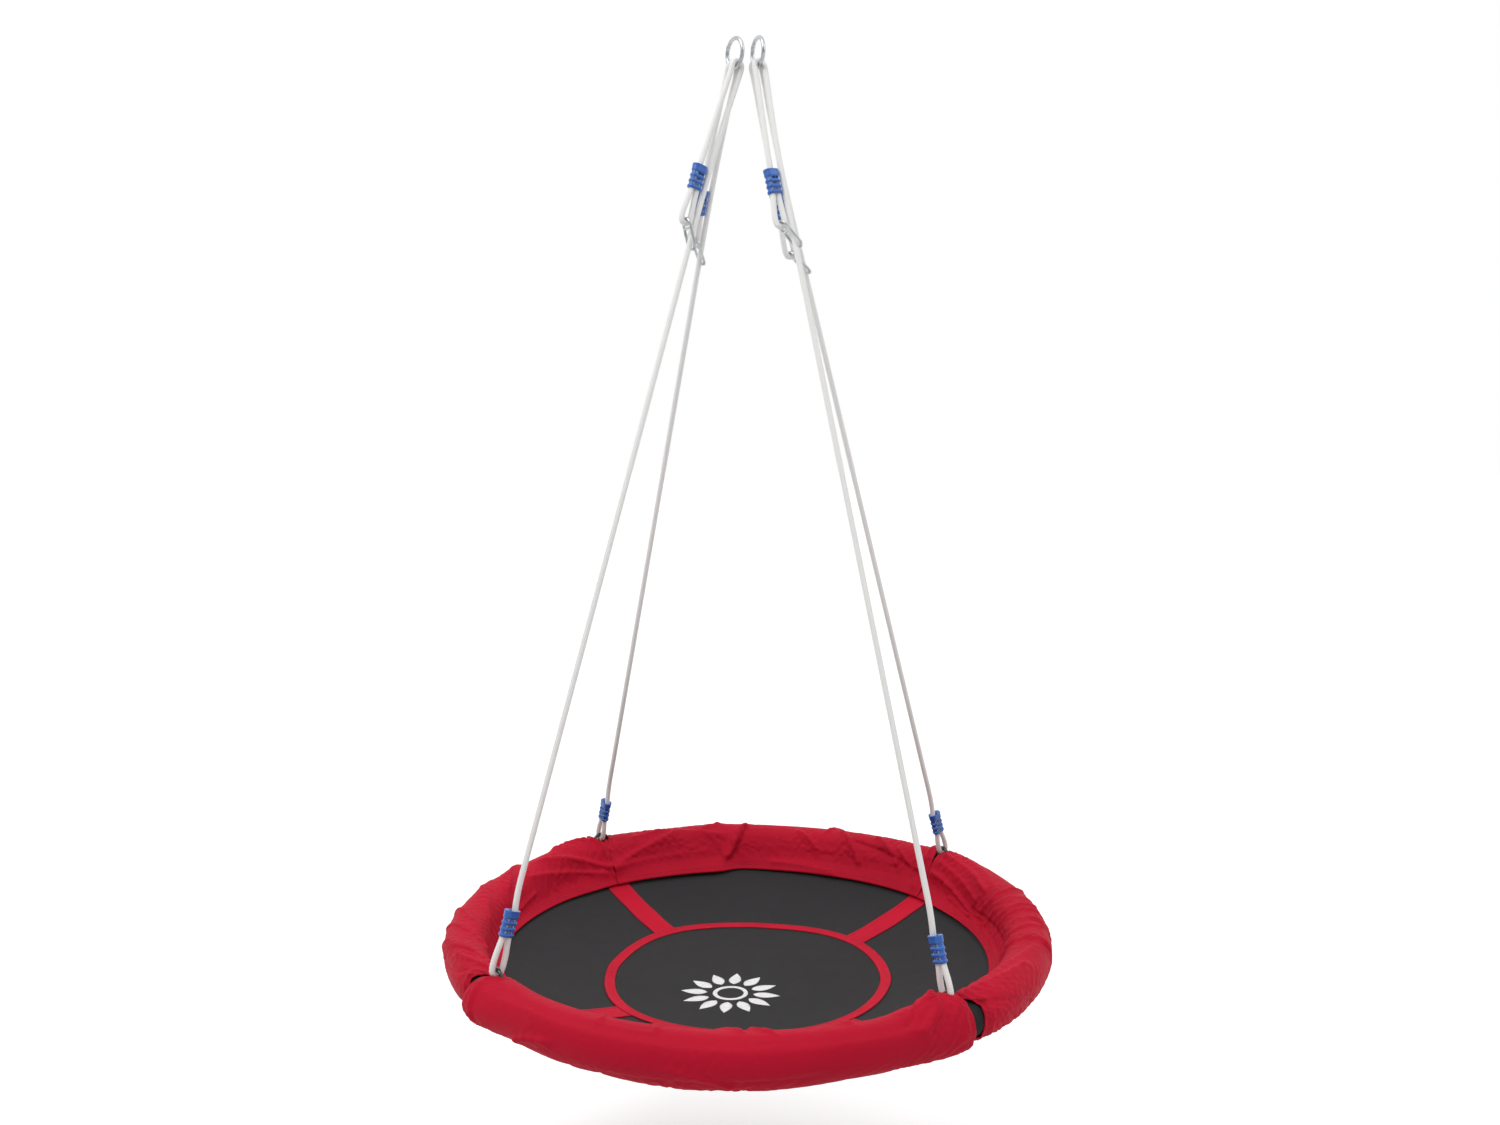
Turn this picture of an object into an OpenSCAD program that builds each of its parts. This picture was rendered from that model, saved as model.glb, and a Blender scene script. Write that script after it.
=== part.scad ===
// Saucer nest swing: a round padded seat hung by four ropes from two top rings.
// Origin: midway between the two points where the top rings bear on their hooks.
// +Z is up, +X runs from the left ring to the right ring, and the front is -Y.

/* [Seat] */
// Height from the seat's ring tube up to where the hooks bear
hang_height = 1587; // [1300:1:1700]
// Radius of the frame tube's centreline
frame_radius = 510; // [480:1:540]
// Outer radius of the frame tube
tube_r = 14; // [12.5:0.5:16]
// Wall of the frame tube
tube_wall = 1.5; // [1.2:0.1:2]
// Length of a tube's reduced end, which slides into the next tube
spigot_length = 70; // [40:1:100]
// Outer radius of the foam sleeve
foam_r = 32; // [28:0.5:36]
// Outer radius of the fabric cover sleeve
cover_r = 42; // [40:0.5:46]
// Thickness of the cover fabric with its air
cover_wall = 2.5; // [1.5:0.1:4]
// Half of the gap between two foam sleeves at an eye bolt
foam_gap = 27; // [24:1:32]
// Half of the gap between two covers at an eye bolt
cover_gap = 23; // [22:1:26]

/* [Mat] */
// Outer radius of the black mesh
mat_r = 452; // [430:1:456]
// Depth of the mesh's edge below the tube's centreline
mat_edge_drop = 38; // [37:0.5:44]
// Sag of the mesh's middle below its edge
mat_sag = 54; // [20:1:80]
// Outer radius of the centre binding ring
binding_r = 270; // [220:1:300]
// Width of the centre binding ring
binding_w = 20; // [12:1:30]
// Width of a cross strap
strap_w = 48; // [30:1:60]
// Inner radius of the cover's skirt, which is sewn to the mesh
skirt_r = 440; // [430:1:446]

/* [Hardware] */
// Distance between the two top rings
ring_spacing = 40; // [30:1:80]
// Radius of a top ring, to the middle of its wire
ring_r = 24.5; // [20:0.5:30]
// Radius of a top ring's wire
ring_wire_r = 3.5; // [3:0.25:4]
// Turn of the left ring about the vertical
left_ring_turn = 40; // [20:1:60]
// Turn of the right ring about the vertical
right_ring_turn = 30; // [20:1:60]
// Radius of an eye bolt's eye, to the middle of its wire
eye_r = 17.5; // [16:0.5:20]
// Radius of an eye bolt's wire
eye_wire_r = 3.5; // [3:0.25:4]
// Height of an eye's middle above the tube's centreline
eye_height = 37.5; // [36:0.5:42]
// Length of an adjuster link over its wire
link_length = 58; // [56:1:64]
// Width of an adjuster link over its wire
link_width = 28; // [26:1:32]
// Radius of an adjuster link's wire
link_wire_r = 2.5; // [2:0.25:2.75]

/* [Rope] */
// Radius of the rope
rope_r = 4.9; // [4:0.1:5]
// Length of a rope clamp
clamp_length = 44; // [43:1:48]

/* [Hidden] */

$fn = 48;

// The four corners, in order round the seat from the front left, and the sides that start at them
CORNERS = ["front_left", "front_right", "back_right", "back_left"];
SIDES = ["front", "right", "back", "left"];
CORNER_ANGLE = [225, 315, 45, 135];

// How far each rope's upper clamp and adjuster lie below its top ring
CLAMP_DROP = [190, 193, 214, 211];
ADJUSTER_DROP = [309, 310, 341, 320];

// How far each rope's lower clamp stands above its eye
LOWER_CLAMP_RISE = [53, 45, 38, 38];

seat_z = -hang_height;
ring_z = -(ring_r - ring_wire_r);
ring_bottom_z = ring_z - ring_r;
clearance = 0.3;

// The route of a rope's lower end, as [along, across] from the eye's top wire. It starts inside the lower clamp,
// passes round the eye's wire and back through the clamp, and settles on the rope's own line.
// LOWER_LOOP is for a clamp 50 mm above its eye; the loop is drawn out or shortened to reach a clamp at another height.
LOWER_LOOP = [
  [-9, 0], [-6.5, 6.5], [0, 9], [10, 9.6], [24, 8.8], [38, 6.8]
];
LOWER_TAIL = [[2, 5.4], [20, 5.2], [35, 5.2]];
LOWER_EXIT = [[2, 5.4], [20, 5.2], [37, 5], [48, 3.6], [62, 1.8], [90, 0]];

// The route over the top ring, as [along, across] from the bottom of the ring's wire: up one side and down the other
CROWN = [
  [-250, 0], [-180, -1], [-120, -3], [-70, -5.5], [-35, -7.8], [-12, -9],
  [0, -9], [6.4, -6.4], [9, 0], [6.4, 6.4], [0, 9],
  [-12, 9.4], [-35, 10.5], [-70, 12.5], [-120, 15.5], [-160, 17.8]
];

// Distance of the upper clamp's middle from the rope's line, and of each of its two channels from its middle
CLAMP_OFFSET = 19;
CHANNEL = 5.2;

// The adjuster link leans, so the standing rope passes straight through its lower window.
// Its top bar lies below the clamp, this far above the link's own middle, and its middle bar is this far below the top.
LINK_RISE = 23;
LINK_LEAN = 32;
LINK_BAR = 17;
LOOP_OFFSET = 20;

function unit(v) = v / norm(v);
function across(v, axis) = unit(v - (v * axis) * axis);
function radial(angle) = [cos(angle), sin(angle), 0];

// The left ring carries the two left ropes and the right ring the two right ropes
function is_left(k) = k == 0 || k == 3;
function is_front(k) = k < 2;
function ring_x(k) = (is_left(k) ? -1 : 1) * ring_spacing / 2;
function ring_turn(k) = is_left(k) ? left_ring_turn : right_ring_turn;

// Along the ring's wire at its bottom, and through the ring's hole towards the returning rope
function ring_wire_dir(k) = [sin(ring_turn(k)), -cos(ring_turn(k)), 0];
function ring_hole_dir(k) = [-cos(ring_turn(k)), -sin(ring_turn(k)), 0];

// The two ropes of a ring lie side by side on its wire, which rises to each side of its lowest point
ROPE_SIDE = 7;
ROPE_LIFT = 1.1;
function rope_top(k) = [ring_x(k), 0, ring_bottom_z + ROPE_LIFT]
  + (is_front(k) ? 1 : -1) * ROPE_SIDE * ring_wire_dir(k);
function rope_foot(k) = frame_radius * radial(CORNER_ANGLE[k]) + [0, 0, seat_z + eye_height + eye_r];
function rope_axis(k) = unit(rope_top(k) - rope_foot(k));
function low_side(k) = across(-radial(CORNER_ANGLE[k]), rope_axis(k));
function top_side(k) = across(ring_hole_dir(k), rope_axis(k));

function low_point(k, p) = rope_foot(k) + p[0] * rope_axis(k) + p[1] * low_side(k);
function top_point(k, p) = rope_top(k) + p[0] * rope_axis(k) + p[1] * top_side(k);

// The rope's end inside the lower clamp, the loop round the eye, and the way back up through the clamp
function loop_along(k, a) = a > 0 ? a * LOWER_CLAMP_RISE[k] / 50 : a;
function lower_route(k) = concat(
  [for (i = [2:-1:0]) low_point(k, [LOWER_CLAMP_RISE[k] + LOWER_TAIL[i][0], -LOWER_TAIL[i][1]])],
  [for (i = [5:-1:1]) low_point(k, [loop_along(k, LOWER_LOOP[i][0]), -LOWER_LOOP[i][1]])],
  [for (p = LOWER_LOOP) low_point(k, [loop_along(k, p[0]), p[1]])],
  [for (p = LOWER_EXIT) low_point(k, [LOWER_CLAMP_RISE[k] + p[0], p[1]])]
);

// Over the ring, down into the upper clamp, round the adjuster's top bar and back up into the clamp
function upper_route(k) = let (c = -CLAMP_DROP[k], q = -(ADJUSTER_DROP[k] - LINK_RISE)) concat(
  [for (p = CROWN) top_point(k, p)],
  [for (p = [
    [c, CLAMP_OFFSET + 1], [c - 12, CLAMP_OFFSET + 4], [c - 24, CLAMP_OFFSET + CHANNEL],
    [c - 46, CLAMP_OFFSET + CHANNEL],
    [q + 10, LOOP_OFFSET + 8.4], [q, LOOP_OFFSET + 8], [q - 5.7, LOOP_OFFSET + 5.7], [q - 8, LOOP_OFFSET],
    [q - 5.7, LOOP_OFFSET - 5.7], [q, LOOP_OFFSET - 8], [q + 10, LOOP_OFFSET - 8.2],
    [c - 46, CLAMP_OFFSET - CHANNEL], [c - 24, CLAMP_OFFSET - CHANNEL]
  ]) top_point(k, p)]
);

// The standing part between the two ends, with a point at each of these shares of its length
STANDING = [0.12, 0.25, 0.4, 0.55, 0.7];
function standing_route(k) = [for (t = STANDING) rope_foot(k) + t * (rope_top(k) - rope_foot(k))];
function rope_route(k) = concat(lower_route(k), standing_route(k), upper_route(k));

// A tube swept along the points p, with its sections turned from one reference direction
TUBE_SIDES = 8;
function heading(p, i) = unit(p[min(i + 1, len(p) - 1)] - p[max(i - 1, 0)]);
function section(p, i, r, ref) = let (t = heading(p, i), s = unit(cross(t, ref)), u = cross(s, t))
  [for (j = [0:TUBE_SIDES - 1]) let (a = 360 * j / TUBE_SIDES) p[i] + r * (cos(a) * s + sin(a) * u)];

module swept_tube(p, r, ref) {
  n = len(p);
  m = TUBE_SIDES;
  points = [for (i = [0:n - 1]) each section(p, i, r, ref)];
  walls = [for (i = [0:n - 2], j = [0:m - 1])
    let (a = i * m + j, b = i * m + (j + 1) % m) [a, a + m, b + m, b]];
  ends = [[for (j = [0:m - 1]) j], [for (j = [m - 1:-1:0]) (n - 1) * m + j]];
  polyhedron(points = points, faces = concat(ends, walls));
}

// Places children with their z along the rope and their x towards the given side
module on_rope(origin, x, z) {
  y = cross(z, x);
  multmatrix([
    [x[0], y[0], z[0], origin[0]],
    [x[1], y[1], z[1], origin[1]],
    [x[2], y[2], z[2], origin[2]],
    [0, 0, 0, 1]
  ]) children();
}

// A sector of a ring about the seat's middle, revolved from a 2D profile given as [radius, height]
module seat_sector(start, sweep) {
  translate([0, 0, seat_z]) rotate([0, 0, start]) rotate_extrude(angle = sweep, $fn = 96) children();
}

// The angle that a length takes up along the frame tube
function frame_angle(length) = length / frame_radius * 180 / PI;

module wire_ring(r, wire_r) {
  rotate_extrude($fn = 64) translate([r, 0]) circle(r = wire_r, $fn = 32);
}

module top_ring(side) {
  turn = side < 0 ? left_ring_turn : right_ring_turn;
  color("silver") translate([side * ring_spacing / 2, 0, ring_z]) rotate([0, 0, turn])
    rotate([0, 90, 0]) wire_ring(ring_r, ring_wire_r);
}

module rope(k) {
  ref = unit(cross(rope_axis(k), low_side(k)) + cross(rope_axis(k), top_side(k)));
  color("whitesmoke") swept_tube(rope_route(k), rope_r, ref);
}

// A rounded slot outline: the given length and width over its round ends
module stadium(length, width) {
  square([length - width, width], center = true);
  for (s = [-1, 1]) translate([s * (length - width) / 2, 0]) circle(d = width);
}

// A rope clamp, standing on z = 0: a neck with a solid cap and three ribs, two rope channels and windows between the ribs
CLAMP_NECK = [24, 14.5];
CLAMP_CAP = [27, 17.5];
CLAMP_CHANNEL = [21, 10.6];
CAP_HEIGHT = 12;
RIB_HEIGHT = 5;
RIB_PITCH = 10;
module clamp_shell() {
  difference() {
    union() {
      linear_extrude(height = clamp_length) stadium(CLAMP_NECK[0], CLAMP_NECK[1]);
      translate([0, 0, clamp_length - CAP_HEIGHT])
        linear_extrude(height = CAP_HEIGHT) stadium(CLAMP_CAP[0], CLAMP_CAP[1]);
      for (i = [0:2]) translate([0, 0, i * RIB_PITCH + 1])
        linear_extrude(height = RIB_HEIGHT) stadium(CLAMP_CAP[0], CLAMP_CAP[1]);
    }
    translate([0, 0, -1]) linear_extrude(height = clamp_length + 2) stadium(CLAMP_CHANNEL[0], CLAMP_CHANNEL[1]);
    for (i = [0:2], x = [-6, 0, 6]) translate([x, 0, i * RIB_PITCH + RIB_HEIGHT + 3.5])
      rotate([90, 0, 0]) cylinder(d = 4, h = 30, center = true, $fn = 24);
  }
}

module lower_clamp(k) {
  color("royalblue") on_rope(low_point(k, [LOWER_CLAMP_RISE[k], 0]), low_side(k), rope_axis(k)) clamp_shell();
}

module upper_clamp(k) {
  color("royalblue")
    on_rope(top_point(k, [-CLAMP_DROP[k] - clamp_length, CLAMP_OFFSET]), top_side(k), rope_axis(k)) clamp_shell();
}

// A welded wire link with a cross bar, hanging down from its top bar at the origin, in the yz plane
module adjuster_link() {
  end_r = link_width / 2 - link_wire_r;
  reach = link_length - 2 * link_wire_r - 2 * end_r;
  for (top = [0, 1]) translate([0, 0, top == 1 ? -end_r : -end_r - reach]) rotate([0, 90, 0])
    rotate([0, 0, top == 1 ? 90 : -90]) rotate_extrude(angle = 180, $fn = 64)
      translate([end_r, 0]) circle(r = link_wire_r, $fn = 32);
  for (s = [-1, 1]) translate([0, s * end_r, -end_r - reach]) cylinder(r = link_wire_r, h = reach, $fn = 32);
  translate([0, -end_r, -LINK_BAR]) rotate([-90, 0, 0]) cylinder(r = link_wire_r, h = 2 * end_r, $fn = 32);
}

module height_adjuster(k) {
  color("silver") on_rope(top_point(k, [-(ADJUSTER_DROP[k] - LINK_RISE), LOOP_OFFSET]), top_side(k), rope_axis(k))
    rotate([0, LINK_LEAN, 0]) adjuster_link();
}

// The eye bolt stands on the frame tube where two tubes overlap, and its shank passes through both
SHANK_R = 4;
NUT_AF = 13;
NUT_HEIGHT = 6.5;
WASHER_R = 9;
WASHER_HEIGHT = 1.6;
module at_corner(k) {
  rotate([0, 0, CORNER_ANGLE[k]]) translate([frame_radius, 0, seat_z]) children();
}

module eye_bolt(k) {
  collar_top = eye_height - eye_r;
  shank_end = -tube_r - WASHER_HEIGHT - NUT_HEIGHT;
  color([0.1, 0.1, 0.1]) at_corner(k) {
    translate([0, 0, eye_height]) rotate([0, 90, 0]) wire_ring(eye_r, eye_wire_r);
    translate([0, 0, tube_r + clearance]) cylinder(r = 7, h = collar_top - tube_r);
    translate([0, 0, shank_end]) cylinder(r = SHANK_R, h = collar_top - shank_end);
  }
}

module eye_bolt_washers() {
  color("dimgray") for (k = [0:3]) at_corner(k) translate([0, 0, -tube_r - WASHER_HEIGHT - 0.1]) difference() {
    cylinder(r = WASHER_R, h = WASHER_HEIGHT);
    translate([0, 0, -1]) cylinder(r = SHANK_R + 0.2, h = WASHER_HEIGHT + 2);
  }
}

module eye_bolt_nuts() {
  nut_top = -tube_r - WASHER_HEIGHT - 0.2;
  color("dimgray") for (k = [0:3]) at_corner(k) translate([0, 0, nut_top - NUT_HEIGHT]) difference() {
    union() {
      cylinder(d = NUT_AF / cos(30), h = NUT_HEIGHT, $fn = 6);
      translate([0, 0, -3]) cylinder(d = NUT_AF - 1, h = 4);
    }
    translate([0, 0, -0.5]) cylinder(r = SHANK_R + 0.1, h = NUT_HEIGHT + 1);
  }
}

// One quarter of the frame: a bent tube whose far end is reduced and slides into the next quarter
module frame_tube(k) {
  half_overlap = frame_angle(spigot_length / 2);
  main_start = CORNER_ANGLE[k] - half_overlap;
  main_sweep = 90 - 0.1;
  bore_r = tube_r - tube_wall;
  spigot_r = bore_r - 0.15;
  color("lightgray") difference() {
    union() {
      seat_sector(main_start, main_sweep) translate([frame_radius, 0]) difference() {
        circle(r = tube_r);
        circle(r = bore_r);
      }
      seat_sector(main_start + main_sweep, 2 * half_overlap) translate([frame_radius, 0]) difference() {
        circle(r = spigot_r);
        circle(r = spigot_r - tube_wall);
      }
      seat_sector(main_start + main_sweep - 1.5, 1.5) translate([frame_radius, 0]) difference() {
        circle(r = tube_r - 0.2);
        circle(r = spigot_r - tube_wall);
      }
    }
    for (c = [k, (k + 1) % 4]) at_corner(c)
      translate([0, 0, -tube_r - 5]) cylinder(r = SHANK_R + 0.3, h = 2 * tube_r + 10);
  }
}

module padding_sector(k, gap, outer, inner) {
  start = frame_angle(gap);
  seat_sector(CORNER_ANGLE[k] + start, 90 - 2 * start) translate([frame_radius, 0]) difference() {
    circle(r = outer);
    circle(r = inner);
  }
}

module foam_sleeve(k) {
  color("dimgray") padding_sector(k, foam_gap, foam_r, tube_r + clearance);
}

module cover(k) {
  color("crimson") padding_sector(k, cover_gap, cover_r, cover_r - cover_wall);
}

// Height of the mesh's top face at a radius, below the tube's centreline
function mat_z(r) = -mat_edge_drop - mat_sag * (1 - pow(r / mat_r, 3));
MAT_STEPS = 10;
function radii(from, to) = [for (i = [0:MAT_STEPS]) from + (to - from) * i / MAT_STEPS];

// A layer that follows the mat's sag between two radii, raised off the mesh's top face by lift
module mat_profile(from, to, lift, thickness) {
  r = radii(from, to);
  polygon(concat(
    [for (i = [0:MAT_STEPS]) [r[i], mat_z(r[i]) + lift + thickness]],
    [for (i = [MAT_STEPS:-1:0]) [r[i], mat_z(r[i]) + lift]]
  ));
}

MESH_WALL = 1.2;
BINDING_WALL = 1.2;
module mat_mesh() {
  color([0.2, 0.2, 0.2]) seat_sector(0, 360)
    mat_profile(binding_r - binding_w / 2 + clearance, mat_r, -MESH_WALL, MESH_WALL);
}

module centre_panel() {
  color([0.24, 0.24, 0.24]) seat_sector(0, 360)
    mat_profile(0, binding_r - binding_w / 2, -MESH_WALL, MESH_WALL);
}

module centre_binding() {
  color("crimson") seat_sector(0, 360) mat_profile(binding_r - binding_w, binding_r, clearance, BINDING_WALL);
}

module strap(k) {
  color("crimson") rotate([0, 0, CORNER_ANGLE[k]]) translate([0, 0, seat_z]) rotate([90, 0, 0])
    linear_extrude(height = strap_w, center = true)
      mat_profile(binding_r + 2, skirt_r - 5, 0.8, BINDING_WALL);
}

// The doubled edge of a cover, which runs in under the padding and is sewn to the mesh
SKIRT_WALL = 2;
module cover_skirt(k) {
  gap = frame_angle(3);
  inner_z = -mat_edge_drop + 1;
  outer_r = frame_radius - 28;
  outer_z = -sqrt(pow(cover_r, 2) - pow(28, 2)) - 0.6 - SKIRT_WALL;
  color("firebrick") seat_sector(CORNER_ANGLE[k] + gap, 90 - 2 * gap) polygon([
    [skirt_r, inner_z], [outer_r, outer_z], [outer_r, outer_z + SKIRT_WALL], [skirt_r, inner_z + SKIRT_WALL]
  ]);
}

top_ring(-1);  // top_ring_left
top_ring(1);  // top_ring_right
eye_bolt_washers();
eye_bolt_nuts();
mat_mesh();
centre_panel();
centre_binding();
for (k = [0:3]) {
  rope(k);
  upper_clamp(k);
  height_adjuster(k);
  lower_clamp(k);
  eye_bolt(k);
  strap(k);
  frame_tube(k);
  foam_sleeve(k);
  cover(k);
  cover_skirt(k);
}
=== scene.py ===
"""The looks of the saucer nest swing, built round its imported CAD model.

Lengths are metres in the CAD model's frame: +Z is up, the front is -Y, and the origin lies between the two
hook bearings. Corners are numbered from the front left, counter-clockwise seen from above, and side k runs
from corner k to the next one.
"""
import math

import bpy
import numpy as np
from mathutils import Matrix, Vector


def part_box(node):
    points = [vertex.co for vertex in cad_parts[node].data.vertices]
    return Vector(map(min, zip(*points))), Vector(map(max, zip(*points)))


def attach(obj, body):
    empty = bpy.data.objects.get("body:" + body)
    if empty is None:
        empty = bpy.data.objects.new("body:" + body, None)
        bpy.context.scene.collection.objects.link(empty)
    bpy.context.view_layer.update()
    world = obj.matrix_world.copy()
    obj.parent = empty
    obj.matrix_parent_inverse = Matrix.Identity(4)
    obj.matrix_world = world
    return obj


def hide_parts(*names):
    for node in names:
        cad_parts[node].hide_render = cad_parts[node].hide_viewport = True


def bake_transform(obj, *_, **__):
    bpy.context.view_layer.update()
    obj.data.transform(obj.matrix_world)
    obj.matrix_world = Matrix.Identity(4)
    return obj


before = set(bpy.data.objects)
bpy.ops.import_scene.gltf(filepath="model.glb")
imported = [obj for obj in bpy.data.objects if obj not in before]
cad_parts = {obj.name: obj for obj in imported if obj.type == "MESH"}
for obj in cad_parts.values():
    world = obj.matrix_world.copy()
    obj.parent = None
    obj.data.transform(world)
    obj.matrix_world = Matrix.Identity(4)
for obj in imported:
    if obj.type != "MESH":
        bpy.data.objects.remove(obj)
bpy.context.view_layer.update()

MM = 0.001

# --- What the CAD model says ----------------------------------------------------------------------

CORNERS = ("front_left", "front_right", "back_right", "back_left")
SIDES = ("front", "right", "back", "left")
CORNER_ANGLE = (225, 315, 45, 135)

FOAM_LOW, FOAM_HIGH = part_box("foam_sleeve_front")
SEAT_Z = (FOAM_LOW.z + FOAM_HIGH.z) / 2
FOAM_R = (FOAM_HIGH.z - FOAM_LOW.z) / 2
FRAME_R = -FOAM_LOW.y - FOAM_R
PANEL_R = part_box("centre_panel")[1].x
MESH_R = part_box("mat_mesh")[1].x
BINDING_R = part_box("centre_binding")[1].x
MAT_EDGE_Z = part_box("mat_mesh")[1].z - SEAT_Z
MAT_SAG = MAT_EDGE_Z + SEAT_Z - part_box("centre_panel")[0].z - 1.2 * MM

ROPE_R = 4.9 * MM
EYE_R = 17.5 * MM
EYE_WIRE_R = 3.5 * MM
EYE_HEIGHT = 37.5 * MM
TUBE_R = 14 * MM
RING_R = 24.5 * MM
RING_WIRE_R = 3.5 * MM
RING_X = 20 * MM
RING_TURN = (40, 30)
CLAMP_DROP = (190 * MM, 193 * MM, 214 * MM, 211 * MM)
ADJUSTER_DROP = (309 * MM, 310 * MM, 341 * MM, 320 * MM)
CLAMP_LENGTH = 44 * MM
LOWER_CLAMP_RISE = (53 * MM, 45 * MM, 38 * MM, 38 * MM)
CLAMP_OFFSET = 19
CHANNEL = 5.2
LOOP_OFFSET = 20
LINK_RISE = 23 * MM
LINK_LEAN = 32
LINK_LENGTH = 58 * MM
LINK_WIDTH = 28 * MM
LINK_WIRE_R = 2.5 * MM
LINK_BAR = 17 * MM

RING_Z = RING_WIRE_R - RING_R
RING_BOTTOM_Z = RING_Z - RING_R


def unit(v):
    v = np.asarray(v, float)
    return v / np.linalg.norm(v)


def radial(angle):
    a = math.radians(angle)
    return np.array([math.cos(a), math.sin(a), 0.0])


def across(v, axis):
    return unit(v - np.dot(v, axis) * axis)


class Corner:
    """One of the four ropes' corners: its line from the eye to the ring, and the directions across it."""

    def __init__(self, k):
        self.k = k
        self.name = CORNERS[k]
        self.out = radial(CORNER_ANGLE[k])
        left = k in (0, 3)
        turn = math.radians(RING_TURN[0] if left else RING_TURN[1])
        wire = np.array([math.sin(turn), -math.cos(turn), 0])
        hole = np.array([-math.cos(turn), -math.sin(turn), 0])
        ring = np.array([-RING_X if left else RING_X, 0, RING_BOTTOM_Z + 1.1 * MM])
        self.top = ring + (1 if k < 2 else -1) * 7 * MM * wire
        self.foot = FRAME_R * self.out + np.array([0, 0, SEAT_Z + EYE_HEIGHT + EYE_R])
        self.axis = unit(self.top - self.foot)
        self.low_side = across(-self.out, self.axis)
        self.top_side = across(hole, self.axis)

    def low(self, along, sideways):
        return self.foot + along * MM * self.axis + sideways * MM * self.low_side

    def high(self, along, sideways):
        return self.top + along * MM * self.axis + sideways * MM * self.top_side


corners = [Corner(k) for k in range(4)]


def mat_z(r):
    """Height of the mat's top face at a radius."""
    return MAT_EDGE_Z - MAT_SAG * (1 - (r / MESH_R) ** 3)


# --- Camera, light and floor ----------------------------------------------------------------------

def make_camera():
    data = bpy.data.cameras.new("camera")
    data.lens = 33.43
    data.sensor_width = 36
    camera = bpy.data.objects.new("camera", data)
    camera.location = (0.321, -2.46, -0.625)
    camera.rotation_euler = [math.radians(a) for a in (83.58, 0, 7.29)]
    bpy.context.scene.collection.objects.link(camera)
    bpy.context.scene.camera = camera


def area_light(name, place, target, size, power, colour):
    data = bpy.data.lights.new(name, "AREA")
    data.shape = "DISK"
    data.size = size
    data.energy = power
    data.color = colour
    light = bpy.data.objects.new(name, data)
    light.location = place
    light.rotation_euler = (Vector(target) - Vector(place)).to_track_quat("-Z", "Y").to_euler()
    bpy.context.scene.collection.objects.link(light)


def make_world():
    """A white room, darker on the camera's side, so that the front of the seat keeps its shade."""
    world = bpy.data.worlds.new("room")
    world.use_nodes = True
    bpy.context.scene.world = world
    nodes, links = world.node_tree.nodes, world.node_tree.links
    coords = nodes.new("ShaderNodeTexCoord")
    split = nodes.new("ShaderNodeSeparateXYZ")
    links.new(coords.outputs["Generated"], split.inputs[0])
    ramp = nodes.new("ShaderNodeMapRange")
    ramp.inputs["From Min"].default_value = -0.7
    ramp.inputs["From Max"].default_value = 0.5
    ramp.inputs["To Min"].default_value = 0.3
    ramp.inputs["To Max"].default_value = 1.0
    lift = nodes.new("ShaderNodeMath")
    lift.operation = "ADD"
    links.new(split.outputs["Y"], lift.inputs[0])
    links.new(split.outputs["Z"], lift.inputs[1])
    links.new(lift.outputs[0], ramp.inputs["Value"])
    links.new(ramp.outputs[0], nodes["Background"].inputs["Strength"])
    nodes["Background"].inputs["Color"].default_value = (1, 1, 1, 1)


FLOOR_Z = -2.15


def make_floor():
    mesh = bpy.data.meshes.new("floor")
    side = 30
    mesh.from_pydata([(-side, -side, FLOOR_Z), (side, -side, FLOOR_Z), (side, side, FLOOR_Z),
                      (-side, side, FLOOR_Z)], [], [(0, 1, 2, 3)])
    floor = bpy.data.objects.new("floor", mesh)
    bpy.context.scene.collection.objects.link(floor)
    material = bpy.data.materials.new("pale_floor")
    material.use_nodes = True
    nodes, links = material.node_tree.nodes, material.node_tree.links
    shader = nodes["Principled BSDF"]
    shader.inputs["Base Color"].default_value = (0.72, 0.72, 0.72, 1)
    shader.inputs["Roughness"].default_value = 1.0
    shader.inputs["Emission Color"].default_value = (1, 1, 1, 1)
    # the back of the studio floor is lit white, and the front of it is left plain
    split = nodes.new("ShaderNodeSeparateXYZ")
    links.new(nodes.new("ShaderNodeTexCoord").outputs["Object"], split.inputs[0])
    lit = nodes.new("ShaderNodeMapRange")
    lit.interpolation_type = "SMOOTHSTEP"
    lit.inputs["From Min"].default_value = -0.5
    lit.inputs["From Max"].default_value = 0.6
    lit.inputs["To Min"].default_value = 0.0
    lit.inputs["To Max"].default_value = 0.5
    links.new(split.outputs["Y"], lit.inputs["Value"])
    links.new(lit.outputs[0], shader.inputs["Emission Strength"])
    mesh.materials.append(material)


make_camera()
make_world()
make_floor()
area_light("key", (-1.6, -1.8, 2.2), (0, 0, -1.4), 2.2, 62, (1, 0.99, 0.97))
area_light("fill", (2.6, -1.2, 1.2), (0, 0, -1.5), 2.0, 16, (0.97, 0.98, 1))
bpy.context.scene.view_settings.view_transform = "Standard"

# --- Materials ------------------------------------------------------------------------------------


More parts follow.
